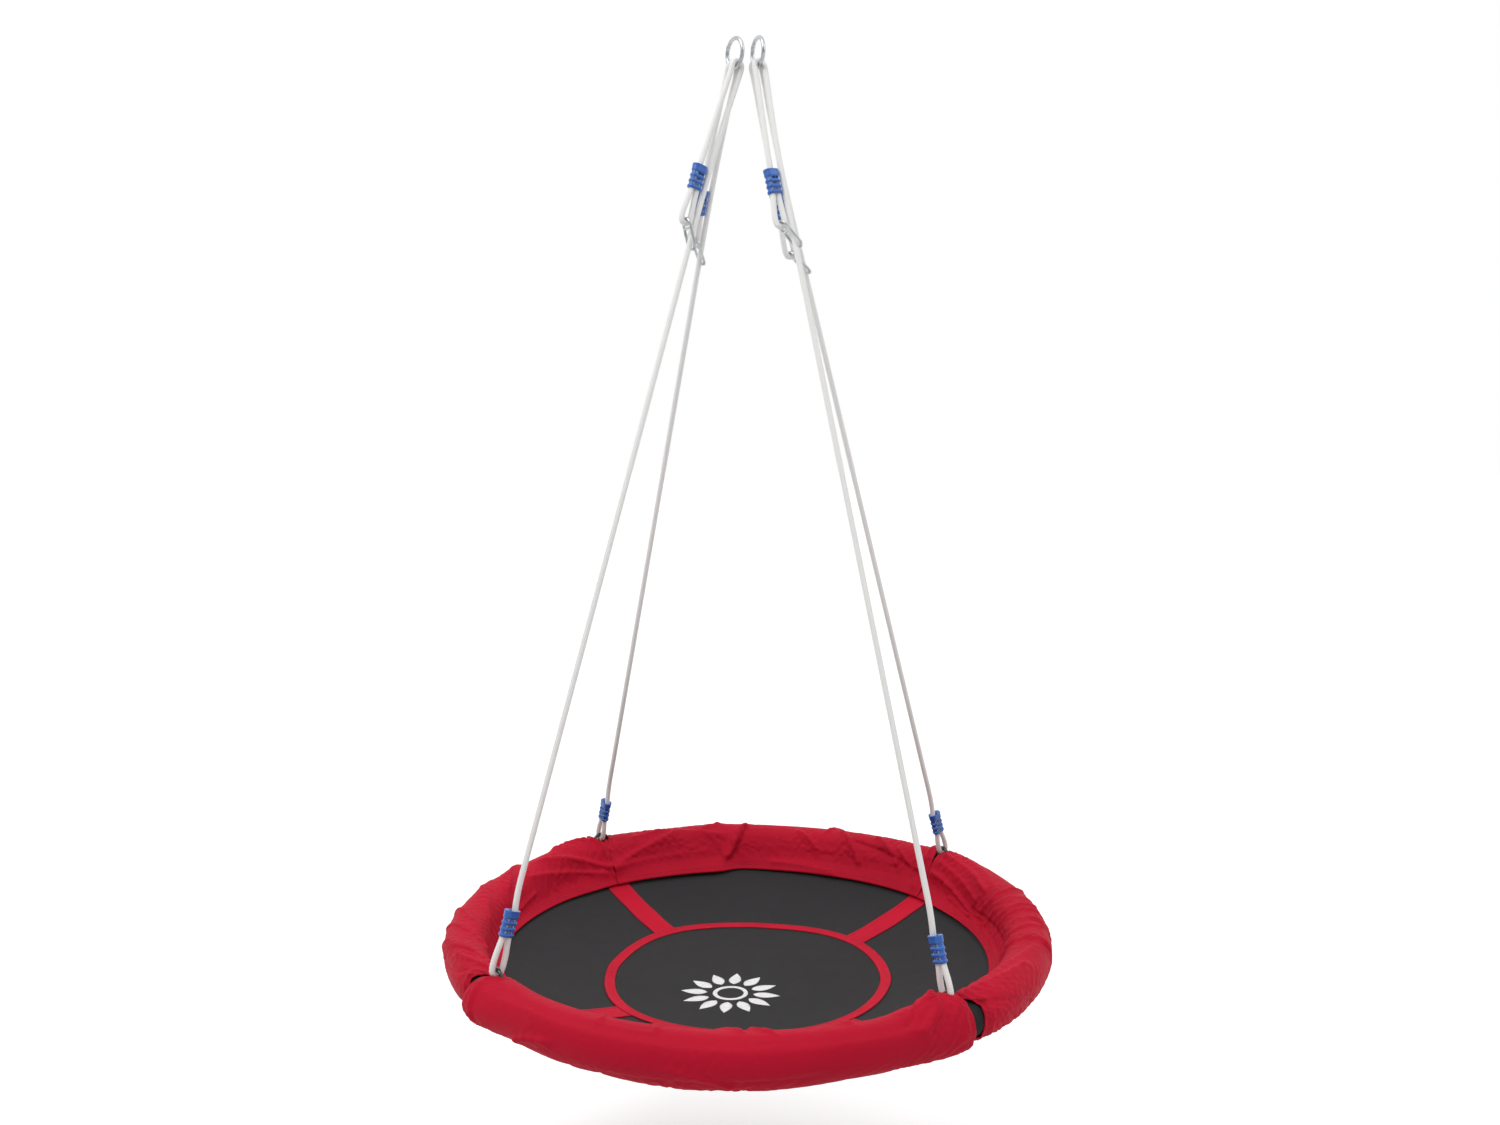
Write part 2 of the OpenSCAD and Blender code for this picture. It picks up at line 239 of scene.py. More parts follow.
class Shader:
    """A material's node tree, with short calls for the nodes that the materials below are made of."""

    def __init__(self, name, roughness, metallic=0.0, **uniform):
        self.material = bpy.data.materials.new(name)
        self.material.use_nodes = True
        self.tree = self.material.node_tree
        self.main = self.tree.nodes["Principled BSDF"]
        self.main.inputs["Roughness"].default_value = roughness
        self.main.inputs["Metallic"].default_value = metallic
        for socket, value in uniform.items():
            self.main.inputs[socket.replace("_", " ")].default_value = value

    def node(self, kind, **settings):
        made = self.tree.nodes.new(kind)
        for key, value in settings.items():
            setattr(made, key, value)
        return made

    def link(self, output, socket):
        self.tree.links.new(output, socket)

    def value(self, source, socket):
        if isinstance(source, (int, float)):
            socket.default_value = source
        else:
            self.link(source, socket)

    def math(self, operation, a, b=0.0, clamp=False):
        made = self.node("ShaderNodeMath", operation=operation, use_clamp=clamp)
        self.value(a, made.inputs[0])
        self.value(b, made.inputs[1])
        return made.outputs[0]

    def uv(self):
        split = self.node("ShaderNodeSeparateXYZ")
        self.link(self.node("ShaderNodeUVMap").outputs[0], split.inputs[0])
        return split.outputs["X"], split.outputs["Y"]

    def noise(self, scale, detail=3.0, coords="Object", stretch=(1, 1, 1)):
        place = self.node("ShaderNodeMapping")
        place.inputs["Scale"].default_value = stretch
        self.link(self.node("ShaderNodeTexCoord").outputs[coords], place.inputs["Vector"])
        made = self.node("ShaderNodeTexNoise")
        made.inputs["Scale"].default_value = scale
        made.inputs["Detail"].default_value = detail
        self.link(place.outputs[0], made.inputs["Vector"])
        return made.outputs[0]

    def ramp(self, value, stops):
        made = self.node("ShaderNodeValToRGB")
        elements = made.color_ramp.elements
        while len(elements) < len(stops):
            elements.new(0.5)
        for element, (place, colour) in zip(elements, stops):
            element.position = place
            element.color = (*colour, 1)
        self.link(value, made.inputs[0])
        return made.outputs[0]

    def spread(self, value, low, high):
        made = self.node("ShaderNodeMapRange")
        made.inputs["To Min"].default_value = low
        made.inputs["To Max"].default_value = high
        self.link(value, made.inputs["Value"])
        return made.outputs[0]

    def colour(self, source):
        self.link(source, self.main.inputs["Base Color"])

    def roughness(self, source):
        self.link(source, self.main.inputs["Roughness"])

    def bump(self, height, distance, strength=1.0):
        """Adds a bump; a second one goes on top of the first."""
        made = self.node("ShaderNodeBump")
        made.inputs["Strength"].default_value = strength
        made.inputs["Distance"].default_value = distance
        self.link(height, made.inputs["Height"])
        socket = self.main.inputs["Normal"]
        if socket.is_linked:
            self.link(socket.links[0].from_socket, made.inputs["Normal"])
        self.link(made.outputs[0], socket)

    def weave(self, pitch_u, pitch_v):
        """Height of a plain weave over UVs in metres: threads that pass over and under each other."""
        u, v = self.uv()
        wave_u = self.math("SINE", self.math("MULTIPLY", u, math.pi / pitch_u))
        wave_v = self.math("SINE", self.math("MULTIPLY", v, math.pi / pitch_v))
        return self.math("MULTIPLY_ADD", self.math("MULTIPLY", wave_u, wave_v), 0.5)


def mix_stops(dark, light):
    return [(0.3, dark), (0.7, light)]


def scaled(colour, factor):
    return tuple(c * factor for c in colour)


RED = (0.50, 0.0065, 0.028)


def red_fabric_material():
    """Coated woven polyester: fine threads, slightly faded in patches."""
    s = Shader("red_fabric", 0.66, Sheen_Weight=0.03, Sheen_Roughness=0.5, Sheen_Tint=(1, 0.4, 0.45, 1),
               Specular_IOR_Level=0.07)
    cloth = s.ramp(s.noise(3.2, 5), mix_stops(scaled(RED, 0.9), scaled(RED, 1.08)))
    weave = s.weave(1.1 * MM, 1.1 * MM)
    # painted shade: the fabric is darker, by up to a fifth, in the weave's hollows
    thread = s.ramp(weave, [(0.0, (0.80, 0.80, 0.80)), (1.0, (1, 1, 1))])
    mix = s.node("ShaderNodeMix", data_type="RGBA", blend_type="MULTIPLY")
    mix.inputs["Factor"].default_value = 1
    s.link(cloth, mix.inputs["A"])
    s.link(thread, mix.inputs["B"])
    s.colour(mix.outputs["Result"])
    s.roughness(s.spread(s.noise(45), 0.54, 0.7))
    s.bump(s.noise(26, 4), 1.2 * MM, 0.35)
    s.bump(weave, 0.25 * MM, 0.6)
    return s.material


def webbing_material():
    """Red binding tape: a ribbed weave along its length."""
    s = Shader("red_webbing", 0.66, Sheen_Weight=0.03, Sheen_Roughness=0.4, Sheen_Tint=(1, 0.4, 0.45, 1),
               Specular_IOR_Level=0.08)
    s.colour(s.ramp(s.noise(9, 4), mix_stops(scaled(RED, 0.92), scaled(RED, 1.12))))
    s.roughness(s.spread(s.noise(60), 0.52, 0.68))
    s.bump(s.weave(0.9 * MM, 2.2 * MM), 0.3 * MM, 0.7)
    return s.material


def mesh_material(name, colour, pitch, depth):
    """Woven mat fabric: an open leno weave with fine lines one way."""
    s = Shader(name, 0.8, Sheen_Weight=0.03, Sheen_Roughness=0.5, Specular_IOR_Level=0.14)
    weave = s.weave(pitch, pitch * 1.3)
    # painted shade and highlight: the mesh is darker in the weave's hollows and lighter on its raised threads
    shaded_weave_tone = s.ramp(weave, [(0.1, scaled(colour, 0.62)), (0.75, scaled(colour, 1.2))])
    patch = s.ramp(s.noise(5, 4), [(0.3, (0.9, 0.9, 0.9)), (0.7, (1.0, 1.0, 1.0))])
    mix = s.node("ShaderNodeMix", data_type="RGBA", blend_type="MULTIPLY")
    mix.inputs["Factor"].default_value = 1
    s.link(shaded_weave_tone, mix.inputs["A"])
    s.link(patch, mix.inputs["B"])
    s.colour(mix.outputs["Result"])
    s.roughness(s.spread(s.noise(30), 0.7, 0.86))
    s.bump(weave, depth, 0.8)
    return s.material


def rope_material():
    """White braided polypropylene: eight strands each way, with painted shade, grey, where they dive under each
    other.
    """
    s = Shader("white_rope", 0.55, Sheen_Weight=0.15, Specular_IOR_Level=0.4)
    u, v = s.uv()
    turn = s.math("MULTIPLY", u, 8 * math.pi)
    climb = s.math("MULTIPLY", v, math.pi / BRAID_PITCH)
    one = s.math("SINE", s.math("ADD", turn, climb))
    other = s.math("SINE", s.math("SUBTRACT", turn, climb))
    knit = s.math("ABSOLUTE", s.math("MULTIPLY", one, other))
    # painted shade: the rope goes grey in the gaps where its strands dive under each other
    s.colour(s.ramp(knit, [(0.0, (0.50, 0.50, 0.49)), (0.16, (0.80, 0.80, 0.79)), (0.5, (0.88, 0.88, 0.87))]))
    s.roughness(s.spread(s.noise(90), 0.48, 0.66))
    s.bump(knit, 0.5 * MM, 0.8)
    s.bump(s.noise(900, 2), 0.15 * MM, 0.4)
    return s.material


def hard_material(name, roughness, stain, dark, light, drift, grain, metallic=0.0, **uniform):
    """A hard finish: cloudy colour, roughness that drifts, and a fine grain.

    stain is the colour noise's scale and detail, drift is [scale, least, most] roughness, and grain is
    [scale, detail, height in millimetres, strength].
    """
    scale, least, most = drift
    s = Shader(name, roughness, metallic, **uniform)
    s.colour(s.ramp(s.noise(*stain), mix_stops(dark, light)))
    s.roughness(s.spread(s.noise(scale), least, most))
    scale, detail, height, strength = grain
    s.bump(s.noise(scale, detail), height * MM, strength)
    return s.material


# Moulded plastic, zinc plate, gloss powder coat with orange peel, and the tubes' scuffed coat
HARD_FINISHES = {
    "blue_plastic": dict(roughness=0.32, stain=(40, 3.0), dark=(0.022, 0.105, 0.40), light=(0.030, 0.135, 0.47),
                         drift=(160, 0.26, 0.42), grain=(1500, 2, 0.06, 0.35),
                         Coat_Weight=0.15, Coat_Roughness=0.2, IOR=1.5),
    "zinc_steel": dict(roughness=0.3, stain=(140, 4), dark=(0.42, 0.44, 0.46), light=(0.66, 0.68, 0.69),
                       drift=(220, 0.22, 0.42), grain=(700, 3, 0.08, 0.4), metallic=1.0),
    "black_steel": dict(roughness=0.2, stain=(90, 3.0), dark=(0.006, 0.006, 0.007), light=(0.018, 0.018, 0.019),
                        drift=(130, 0.14, 0.32), grain=(420, 2, 0.12, 0.4),
                        Coat_Weight=0.5, Coat_Roughness=0.08),
    "tube_steel": dict(roughness=0.45, stain=(60, 5), dark=(0.012, 0.012, 0.013), light=(0.030, 0.030, 0.031),
                       drift=(110, 0.36, 0.56), grain=(380, 2, 0.1, 0.4), Coat_Weight=0.1),
}


def foam_material():
    """Black closed-cell foam: dull, with its cells showing."""
    s = Shader("black_foam", 0.92, Specular_IOR_Level=0.2)
    cells = s.node("ShaderNodeTexVoronoi", feature="F1")
    cells.inputs["Scale"].default_value = 520
    s.link(s.node("ShaderNodeTexCoord").outputs["Object"], cells.inputs["Vector"])
    # painted shade: the foam is darker in the pits of its cells
    s.colour(s.ramp(cells.outputs["Distance"], [(0.1, (0.010, 0.010, 0.010)), (0.8, (0.026, 0.026, 0.026))]))
    s.bump(cells.outputs["Distance"], 0.6 * MM, 0.7)
    return s.material


def thread_material(name, colour):
    s = Shader(name, 0.6, Sheen_Weight=0.2)
    s.colour(s.ramp(s.noise(300), mix_stops(scaled(colour, 0.85), scaled(colour, 1.1))))
    s.bump(s.noise(1600, 2), 0.08 * MM, 0.5)
    return s.material


def print_material():
    """White screen print: it takes the weave below it, and is thin in places."""
    s = Shader("white_print", 0.6)
    s.colour(s.ramp(s.noise(160, 4), mix_stops((0.66, 0.67, 0.67), (0.80, 0.81, 0.81))))
    s.bump(s.weave(1.6 * MM, 1.6 * MM), 0.2 * MM, 0.5)
    return s.material


BRAID_PITCH = 5.6 * MM
MATERIALS = {
    "red_fabric": red_fabric_material(),
    "red_webbing": webbing_material(),
    "black_mesh": mesh_material("black_mesh", (0.029, 0.029, 0.031), 1.5 * MM, 0.5 * MM),
    "black_panel": mesh_material("black_panel", (0.028, 0.028, 0.0295), 0.8 * MM, 0.25 * MM),
    "white_rope": rope_material(),
    **{name: hard_material(name, **finish) for name, finish in HARD_FINISHES.items()},
    "black_foam": foam_material(),
    "red_thread": thread_material("red_thread", (0.36, 0.010, 0.024)),
    "black_thread": thread_material("black_thread", (0.02, 0.02, 0.021)),
    "white_print": print_material(),
}

# --- Mesh helpers ---------------------------------------------------------------------------------


def mesh_object(name, points, faces, material, loop_uv=None):
    mesh = bpy.data.meshes.new(name)
    mesh.from_pydata(np.asarray(points).tolist(), [], faces)
    mesh.polygons.foreach_set("use_smooth", [True] * len(mesh.polygons))
    if loop_uv is not None:
        layer = mesh.uv_layers.new(name="UVMap")
        layer.data.foreach_set("uv", np.asarray(loop_uv, np.float32).ravel())
    mesh.materials.append(MATERIALS[material])
    mesh.validate()
    made = bpy.data.objects.new(name, mesh)
    bpy.context.scene.collection.objects.link(made)
    return made


def grid_parts(rows, cols, wrap_cols=False, wrap_rows=False):
    """Quads over rows x columns of points, and each quad's corners as steps along the rows and columns."""
    i, j = np.meshgrid(np.arange(rows - (not wrap_rows)), np.arange(cols - (not wrap_cols)), indexing="ij")
    i, j = i.ravel(), j.ravel()
    ring_i = np.stack([i, i, i + 1, i + 1], 1)
    ring_j = np.stack([j, j + 1, j + 1, j], 1)
    quads = (ring_i % rows) * cols + ring_j % cols
    return quads, ring_i, ring_j


def grid_object(name, points, u, v, material, wrap_cols=False, wrap_rows=False, flip=False):
    """A quad mesh over points[row, column]. u[column] and v[row] are its UVs, one longer where it wraps."""
    rows, cols = points.shape[:2]
    quads, ring_i, ring_j = grid_parts(rows, cols, wrap_cols, wrap_rows)
    uv = np.stack([np.asarray(u)[ring_j], np.asarray(v)[ring_i]], -1)
    if flip:
        quads, uv = quads[:, ::-1], uv[:, ::-1]
    return mesh_object(name, points.reshape(-1, 3), quads.tolist(), material, uv.reshape(-1, 2))


def smooth_path(points, step, closed=False):
    """A centripetal Catmull-Rom curve through points, resampled every step."""
    p = np.asarray(points, float)
    if closed:
        p = np.vstack([p[-1:], p, p[:2]])
    else:
        p = np.vstack([2 * p[0] - p[1], p, 2 * p[-1] - p[-2]])
    dense = []
    for a, b, c, d in zip(p, p[1:], p[2:], p[3:]):
        t1 = math.sqrt(np.linalg.norm(b - a))
        t2 = t1 + math.sqrt(np.linalg.norm(c - b))
        t3 = t2 + math.sqrt(np.linalg.norm(d - c))
        t = np.linspace(t1, t2, 24, endpoint=False)[:, None]
        ab = a + (b - a) * t / t1
        bc = b + (c - b) * (t - t1) / (t2 - t1)
        cd = c + (d - c) * (t - t2) / (t3 - t2)
        abc = ab + (bc - ab) * t / t2
        bcd = bc + (cd - bc) * (t - t1) / (t3 - t1)
        dense.append(abc + (bcd - abc) * (t - t1) / (t2 - t1))
    dense.append(p[-2:-1])
    dense = np.vstack(dense)
    return resampled(dense, step)


def lengths_along(path):
    return np.concatenate([[0], np.cumsum(np.linalg.norm(np.diff(path, axis=0), axis=1))])


def resampled(path, step):
    along = lengths_along(path)
    count = max(int(round(along[-1] / step)), 1) + 1
    at = np.linspace(0, along[-1], count)
    return np.stack([np.interp(at, along, path[:, i]) for i in range(3)], 1)


def path_frames(path, closed=False):
    """Directions across a path that don't twist along it."""
    if closed:
        tangent = np.roll(path, -1, 0) - np.roll(path, 1, 0)
    else:
        tangent = np.gradient(path, axis=0)
    tangent /= np.linalg.norm(tangent, axis=1)[:, None]
    side = np.zeros_like(path)
    start = np.cross(tangent[0], [0.31, 0.17, 0.93])
    side[0] = unit(start)
    for i in range(1, len(path)):
        side[i] = unit(side[i - 1] - np.dot(side[i - 1], tangent[i]) * tangent[i])
    return tangent, side, np.cross(tangent, side)


def tube_object(name, path, radius, sides, material, closed=False, relief=None):
    """A tube along a path. relief(turn, along) is the height that its surface stands above the radius."""
    path = np.asarray(path)
    _, side, up = path_frames(path, closed)
    turn = np.arange(sides) * 2 * math.pi / sides
    along = lengths_along(path)
    r = np.broadcast_to(np.asarray(radius, float).reshape(-1, 1), (len(path), sides)).copy()
    if relief is not None:
        r += relief(turn[None, :], along[:, None])
    if closed:
        gap = np.linalg.norm(path[0] - path[-1])
        along = np.append(along, along[-1] + gap)
        # the frames come back turned after one lap, so the turn is undone evenly along it
        last = unit(side[-1] - np.dot(side[-1], unit(path[0] - path[-1])) * unit(path[0] - path[-1]))
        slip = math.atan2(np.dot(last, up[0]), np.dot(last, side[0]))
        turns = turn[None, :] - slip * np.linspace(0, 1, len(path))[:, None]
    else:
        turns = np.broadcast_to(turn[None, :], r.shape)
    points = (path[:, None, :] + r[..., None] * (np.cos(turns)[..., None] * side[:, None, :]
                                                 + np.sin(turns)[..., None] * up[:, None, :]))
    rows, cols = points.shape[:2]
    quads, ring_i, ring_j = grid_parts(rows, cols, True, closed)
    uv = np.stack([ring_j / sides, along[ring_i]], -1).reshape(-1, 2)
    faces = quads.tolist()
    if not closed:
        faces += [list(range(cols))[::-1], list(range((rows - 1) * cols, rows * cols))]
        uv = np.vstack([uv, np.zeros((2 * cols, 2))])
    return mesh_object(name, points.reshape(-1, 3), faces, material, uv)


def lathe_object(name, profile, place, axes, sides, material):
    """A solid of revolution about axes[2] through place, from a closed outline of [radius, height]."""
    x, y, z = axes
    turn = np.arange(sides) * 2 * math.pi / sides
    ring = np.cos(turn)[:, None] * x + np.sin(turn)[:, None] * y
    profile = np.asarray(profile, float)
    points = np.asarray(place) + profile[:, None, :1] * ring[None] + profile[:, None, 1:] * z
    along = lengths_along(np.c_[profile, np.zeros(len(profile))])
    u = np.arange(sides + 1) / sides
    return grid_object(name, points, u, np.append(along, along[-1]), material, True, False)


def modify(obj, kind, **settings):
    made = obj.modifiers.new(kind.lower(), kind)
    for key, value in settings.items():
        setattr(made, key, value)
    return made


def baked(obj):
    """Turns the object's modifiers into its mesh."""
    evaluated = obj.evaluated_get(bpy.context.evaluated_depsgraph_get())
    mesh = bpy.data.meshes.new_from_object(evaluated)
    obj.modifiers.clear()
    obj.data = mesh
    return obj


def world_points(obj):
    co = np.zeros(len(obj.data.vertices) * 3)
    obj.data.vertices.foreach_get("co", co)
    return co.reshape(-1, 3)

# --- Ropes ----------------------------------------------------------------------------------------

# The ropes' routes, as [along, across] in millimetres: round the eye, through the lower clamp and over the
# top ring. The loop is for a clamp 50 mm above its eye, and is drawn out or shortened for another height.
LOWER_LOOP = [(-9, 0), (-6.5, 6.5), (0, 9), (10, 9.6), (24, 8.8), (38, 6.8)]
LOOP_REACH = 50 * MM
LOWER_TAIL = [(2, 5.4), (20, 5.2), (35, 5.2)]
LOWER_EXIT = [(2, 5.4), (20, 5.2), (37, 5), (48, 3.6), (62, 1.8), (90, 0)]
STANDING = (0.12, 0.25, 0.4, 0.55, 0.7)
CROWN = [
    (-250, 0), (-180, -1), (-120, -3), (-70, -5.5), (-35, -7.8), (-12, -9),
    (0, -9), (6.4, -6.4), (9, 0), (6.4, 6.4), (0, 9),
    (-12, 9.4), (-35, 10.5), (-70, 12.5), (-120, 15.5), (-160, 17.8),
]
CROWN_TOP = 8


def rope_route(c):
    """A rope's whole route, with the places in it of the crown's top and of the upper clamp's middle."""
    rise = LOWER_CLAMP_RISE[c.k]
    loop = [(a * rise / LOOP_REACH if a > 0 else a, s) for a, s in LOWER_LOOP]
    lower = [c.low(rise / MM + a, -s) for a, s in reversed(LOWER_TAIL)]
    lower += [c.low(a, -s) for a, s in reversed(loop[1:])]
    lower += [c.low(a, s) for a, s in loop]
    lower += [c.low(rise / MM + a, s) for a, s in LOWER_EXIT]
    standing = [c.foot + t * (c.top - c.foot) for t in STANDING]
    top = -CLAMP_DROP[c.k] / MM
    bar = -(ADJUSTER_DROP[c.k] - LINK_RISE) / MM
    ends = [
        (top, CLAMP_OFFSET + 1), (top - 12, CLAMP_OFFSET + 4), (top - 24, CLAMP_OFFSET + CHANNEL),
        (top - 46, CLAMP_OFFSET + CHANNEL),
        (bar + 10, LOOP_OFFSET + 8.4), (bar, LOOP_OFFSET + 8), (bar - 5.7, LOOP_OFFSET + 5.7),
        (bar - 8, LOOP_OFFSET),
        (bar - 5.7, LOOP_OFFSET - 5.7), (bar, LOOP_OFFSET - 8), (bar + 10, LOOP_OFFSET - 8.2),
        (top - 46, CLAMP_OFFSET - CHANNEL), (top - 24, CLAMP_OFFSET - CHANNEL),
    ]
    upper = [c.high(a, s) for a, s in CROWN + ends]
    start = len(lower) + len(standing)
    return lower + standing + upper, start + CROWN_TOP, start + len(CROWN) + 2


ROPE_STEP = BRAID_PITCH / 4
ROPE_SIDES = 16
STRAND_RELIEF = 0.3 * MM
# A height above a rope's eye, in millimetres, that make_rope hands to bake_transform with the standing rope
BLEND_END = 98
# The real length of each rope's three stretches, in metres: the ropes differ a little at their clamps
STANDING_LENGTH = (1.699, 1.689, 1.684, 1.683)
RETURN_LENGTH = (0.228, 0.232, 0.254, 0.249)
END_LOOP_LENGTH = (0.169, 0.165, 0.185, 0.150)


def braid(turn, along):
    """Strands that swell between their crossings, in a diamond pattern."""
    around = np.cos(ROPE_SIDES / 2 * turn)
    return -STRAND_RELIEF * around * np.cos(2 * math.pi * along / BRAID_PITCH)


def nearest(path, point):
    return int(np.argmin(np.linalg.norm(path - point, axis=1)))


def make_rope(c):
    route, crown, clamp = rope_route(c)
    path = smooth_path(route, ROPE_STEP)
    # the rope only passes the crown and the clamp's middle once after its standing part
    at_crown = nearest(path, route[crown])
    at_clamp = at_crown + nearest(path[at_crown:at_crown + 400], route[clamp])
    stretches = {
        "standing": (path[:at_crown + 1], STANDING_LENGTH[c.k]),
        "return": (path[at_crown:at_clamp + 1], RETURN_LENGTH[c.k]),
        "end_loop": (path[at_clamp:], END_LOOP_LENGTH[c.k]),
    }
    made = {}
    for part, (line, length) in stretches.items():
        rope = tube_object(f"rope_{c.name}_{part}", line, ROPE_R, ROPE_SIDES, "white_rope", relief=braid)
        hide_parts(f"rope_{c.name}")
        made[part] = rope
    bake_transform(made["standing"], "hanging_ropes", "seat", start=(0, 0, RING_BOTTOM_Z),
             end=(0, 0, c.low(BLEND_END, 0)[2]))
    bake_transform(made["return"], "hanging_ropes", f"adjuster_{c.name}", start=c.high(-12, 9),
             end=c.high(-CLAMP_DROP[c.k] / MM, CLAMP_OFFSET))
    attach(made["end_loop"], f"adjuster_{c.name}")


# --- Rope clamps ----------------------------------------------------------------------------------

# Half of the columns round a clamp, from +x to -x, as [share of the flat side, angle on the round end]
CLAMP_COLUMNS = [(1, 0), (1, 25), (1, 45), (1, 63), (1, 80), (0.84, 90), (0.42, 90), (0, 90), (-0.42, 90),
                 (-0.84, 90), (-1, 100), (-1, 117), (-1, 135), (-1, 155)]
WINDOW_COLUMNS = (3, 4, 6, 7, 9, 10)
# The clamp's outline as [height, half length, half width], and one rib above its own foot
CLAMP_FOOT = [(6, 10.4, 5.2), (0.6, 10.4, 5.2), (0, 10.9, 5.8), (0, 11.6, 6.9), (0.5, 12, 7.25)]
CLAMP_RIB = [(0, 12, 7.25), (0.5, 13.1, 8.3), (1.3, 13.6, 8.8), (3.7, 13.6, 8.8), (4.5, 13.1, 8.3),
             (5, 12, 7.25)]
CLAMP_WINDOW = [(5.7, 12, 7.25), (7.5, 12, 7.25), (9.3, 12, 7.25)]
CLAMP_CAP = [(31.2, 12, 7.25), (31.8, 13.2, 8.5), (33, 13.5, 8.75), (40.5, 13.5, 8.75), (41.5, 14, 9.2),
             (43.4, 14, 9.2), (44, 13.4, 8.6), (43.4, 9, 6.4), (42.6, 6, 5.6), (41.4, 5.2, 5.2),
             (34, 5.2, 5.2)]
CLAMP_WALL = 1.3 * MM
RIB_PITCH = 10


def clamp_rows():
    """The clamp's outline from its foot to its rope hole, and which of its rows a window spans."""
    rows = list(CLAMP_FOOT)
    windows = []
    for i in range(3):
        z = 1 + i * RIB_PITCH
        rows += [(z + h, a, b) for h, a, b in CLAMP_RIB]
        windows += [len(rows), len(rows) + 1]
        rows += [(z + h, a, b) for h, a, b in CLAMP_WINDOW]
    return rows + CLAMP_CAP, windows


def make_clamp(name, place, x, z, body):
    y = np.cross(z, x)
    half = [(share, math.radians(angle)) for share, angle in CLAMP_COLUMNS]
    columns = half + [(-share, angle + math.pi) for share, angle in half]
    rows, windows = clamp_rows()
    points = np.zeros((len(rows), len(columns), 3))
    for i, (height, a, b) in enumerate(rows):
        for j, (share, angle) in enumerate(columns):
            across_x = share * (a - b) + b * math.cos(angle)
            points[i, j] = place + MM * (across_x * x + b * math.sin(angle) * y + height * z)
    quads, ring_i, ring_j = grid_parts(len(rows), len(columns), True)
    cut = np.isin(ring_i[:, 0], windows) & np.isin(ring_j[:, 0] % len(half), WINDOW_COLUMNS)
    uv = np.stack([ring_j * 2 * MM, ring_i * 2 * MM], -1)
    clamp = mesh_object(name, points.reshape(-1, 3), quads[~cut].tolist(), "blue_plastic",
                        loop_uv=uv[~cut].reshape(-1, 2))
    modify(clamp, "SOLIDIFY", thickness=CLAMP_WALL, offset=-1)
    modify(clamp, "SUBSURF", levels=2, render_levels=2)
    baked(clamp)
    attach(clamp, body)
    return clamp


def make_clamps(c):
    foot = c.low(LOWER_CLAMP_RISE[c.k] / MM, 0)
    lower = make_clamp(f"lower_rope_clamp_{c.name}", foot, c.low_side, c.axis, "seat")
    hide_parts(f"lower_clamp_{c.name}")
    foot = c.high(-(CLAMP_DROP[c.k] + CLAMP_LENGTH) / MM, CLAMP_OFFSET)
    upper = make_clamp(f"upper_rope_clamp_{c.name}", foot, c.top_side, c.axis, f"adjuster_{c.name}")
    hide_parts(f"upper_clamp_{c.name}")


# --- Steel hardware -------------------------------------------------------------------------------


def joined(name, parts):
    """Joins several meshes into the first one."""
    with bpy.context.temp_override(active_object=parts[0], object=parts[0], selected_objects=parts,
                                   selected_editable_objects=parts):
        bpy.ops.object.join()
    parts[0].name = name
    return parts[0]


def arc(centre, x, y, radius, start, end, count):
    a = np.radians(np.linspace(start, end, count))[:, None]
    return np.asarray(centre) + radius * (np.cos(a) * x + np.sin(a) * y)


def weld_bump(middle, length, height):
    """Relief of a butt weld: a low rippled collar round the wire."""
    def relief(turn, along):
        near = np.clip(1 - ((along - middle) / length) ** 2, 0, 1)
        ripple = 1 + 0.25 * np.sin((along - middle) * 2 * math.pi / (1.3 * MM) + 1.5 * np.cos(turn))
        return height * np.sqrt(near) * ripple
    return relief


UP = np.array([0.0, 0, 1])


def make_top_ring(side, name):
    turn = math.radians(RING_TURN[0] if side < 0 else RING_TURN[1])
    wire = np.array([math.sin(turn), -math.cos(turn), 0])
    line = arc((side * RING_X, 0, RING_Z), wire, UP, RING_R, -180, 180, 145)[:-1]
    weld = weld_bump(RING_R * math.radians(330), 3.2 * MM, 0.45 * MM)
    ring = tube_object(f"{name}_wire", line, RING_WIRE_R, 24, "zinc_steel", closed=True, relief=weld)
    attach(ring, "top_rings")
    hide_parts(name)


def blob(name, centre, axis, length, radius, material):
    """A small rounded lump, such as a weld bead, long along axis."""
    z = unit(axis)
    x = unit(np.cross(z, [0.3, 0.5, 0.8]))
    a = np.radians(np.linspace(1, 179, 9))
    profile = np.stack([radius * np.sin(a), -length / 2 * np.cos(a)], 1)
    return lathe_object(name, profile, centre, (x, np.cross(z, x), z), 12, material)


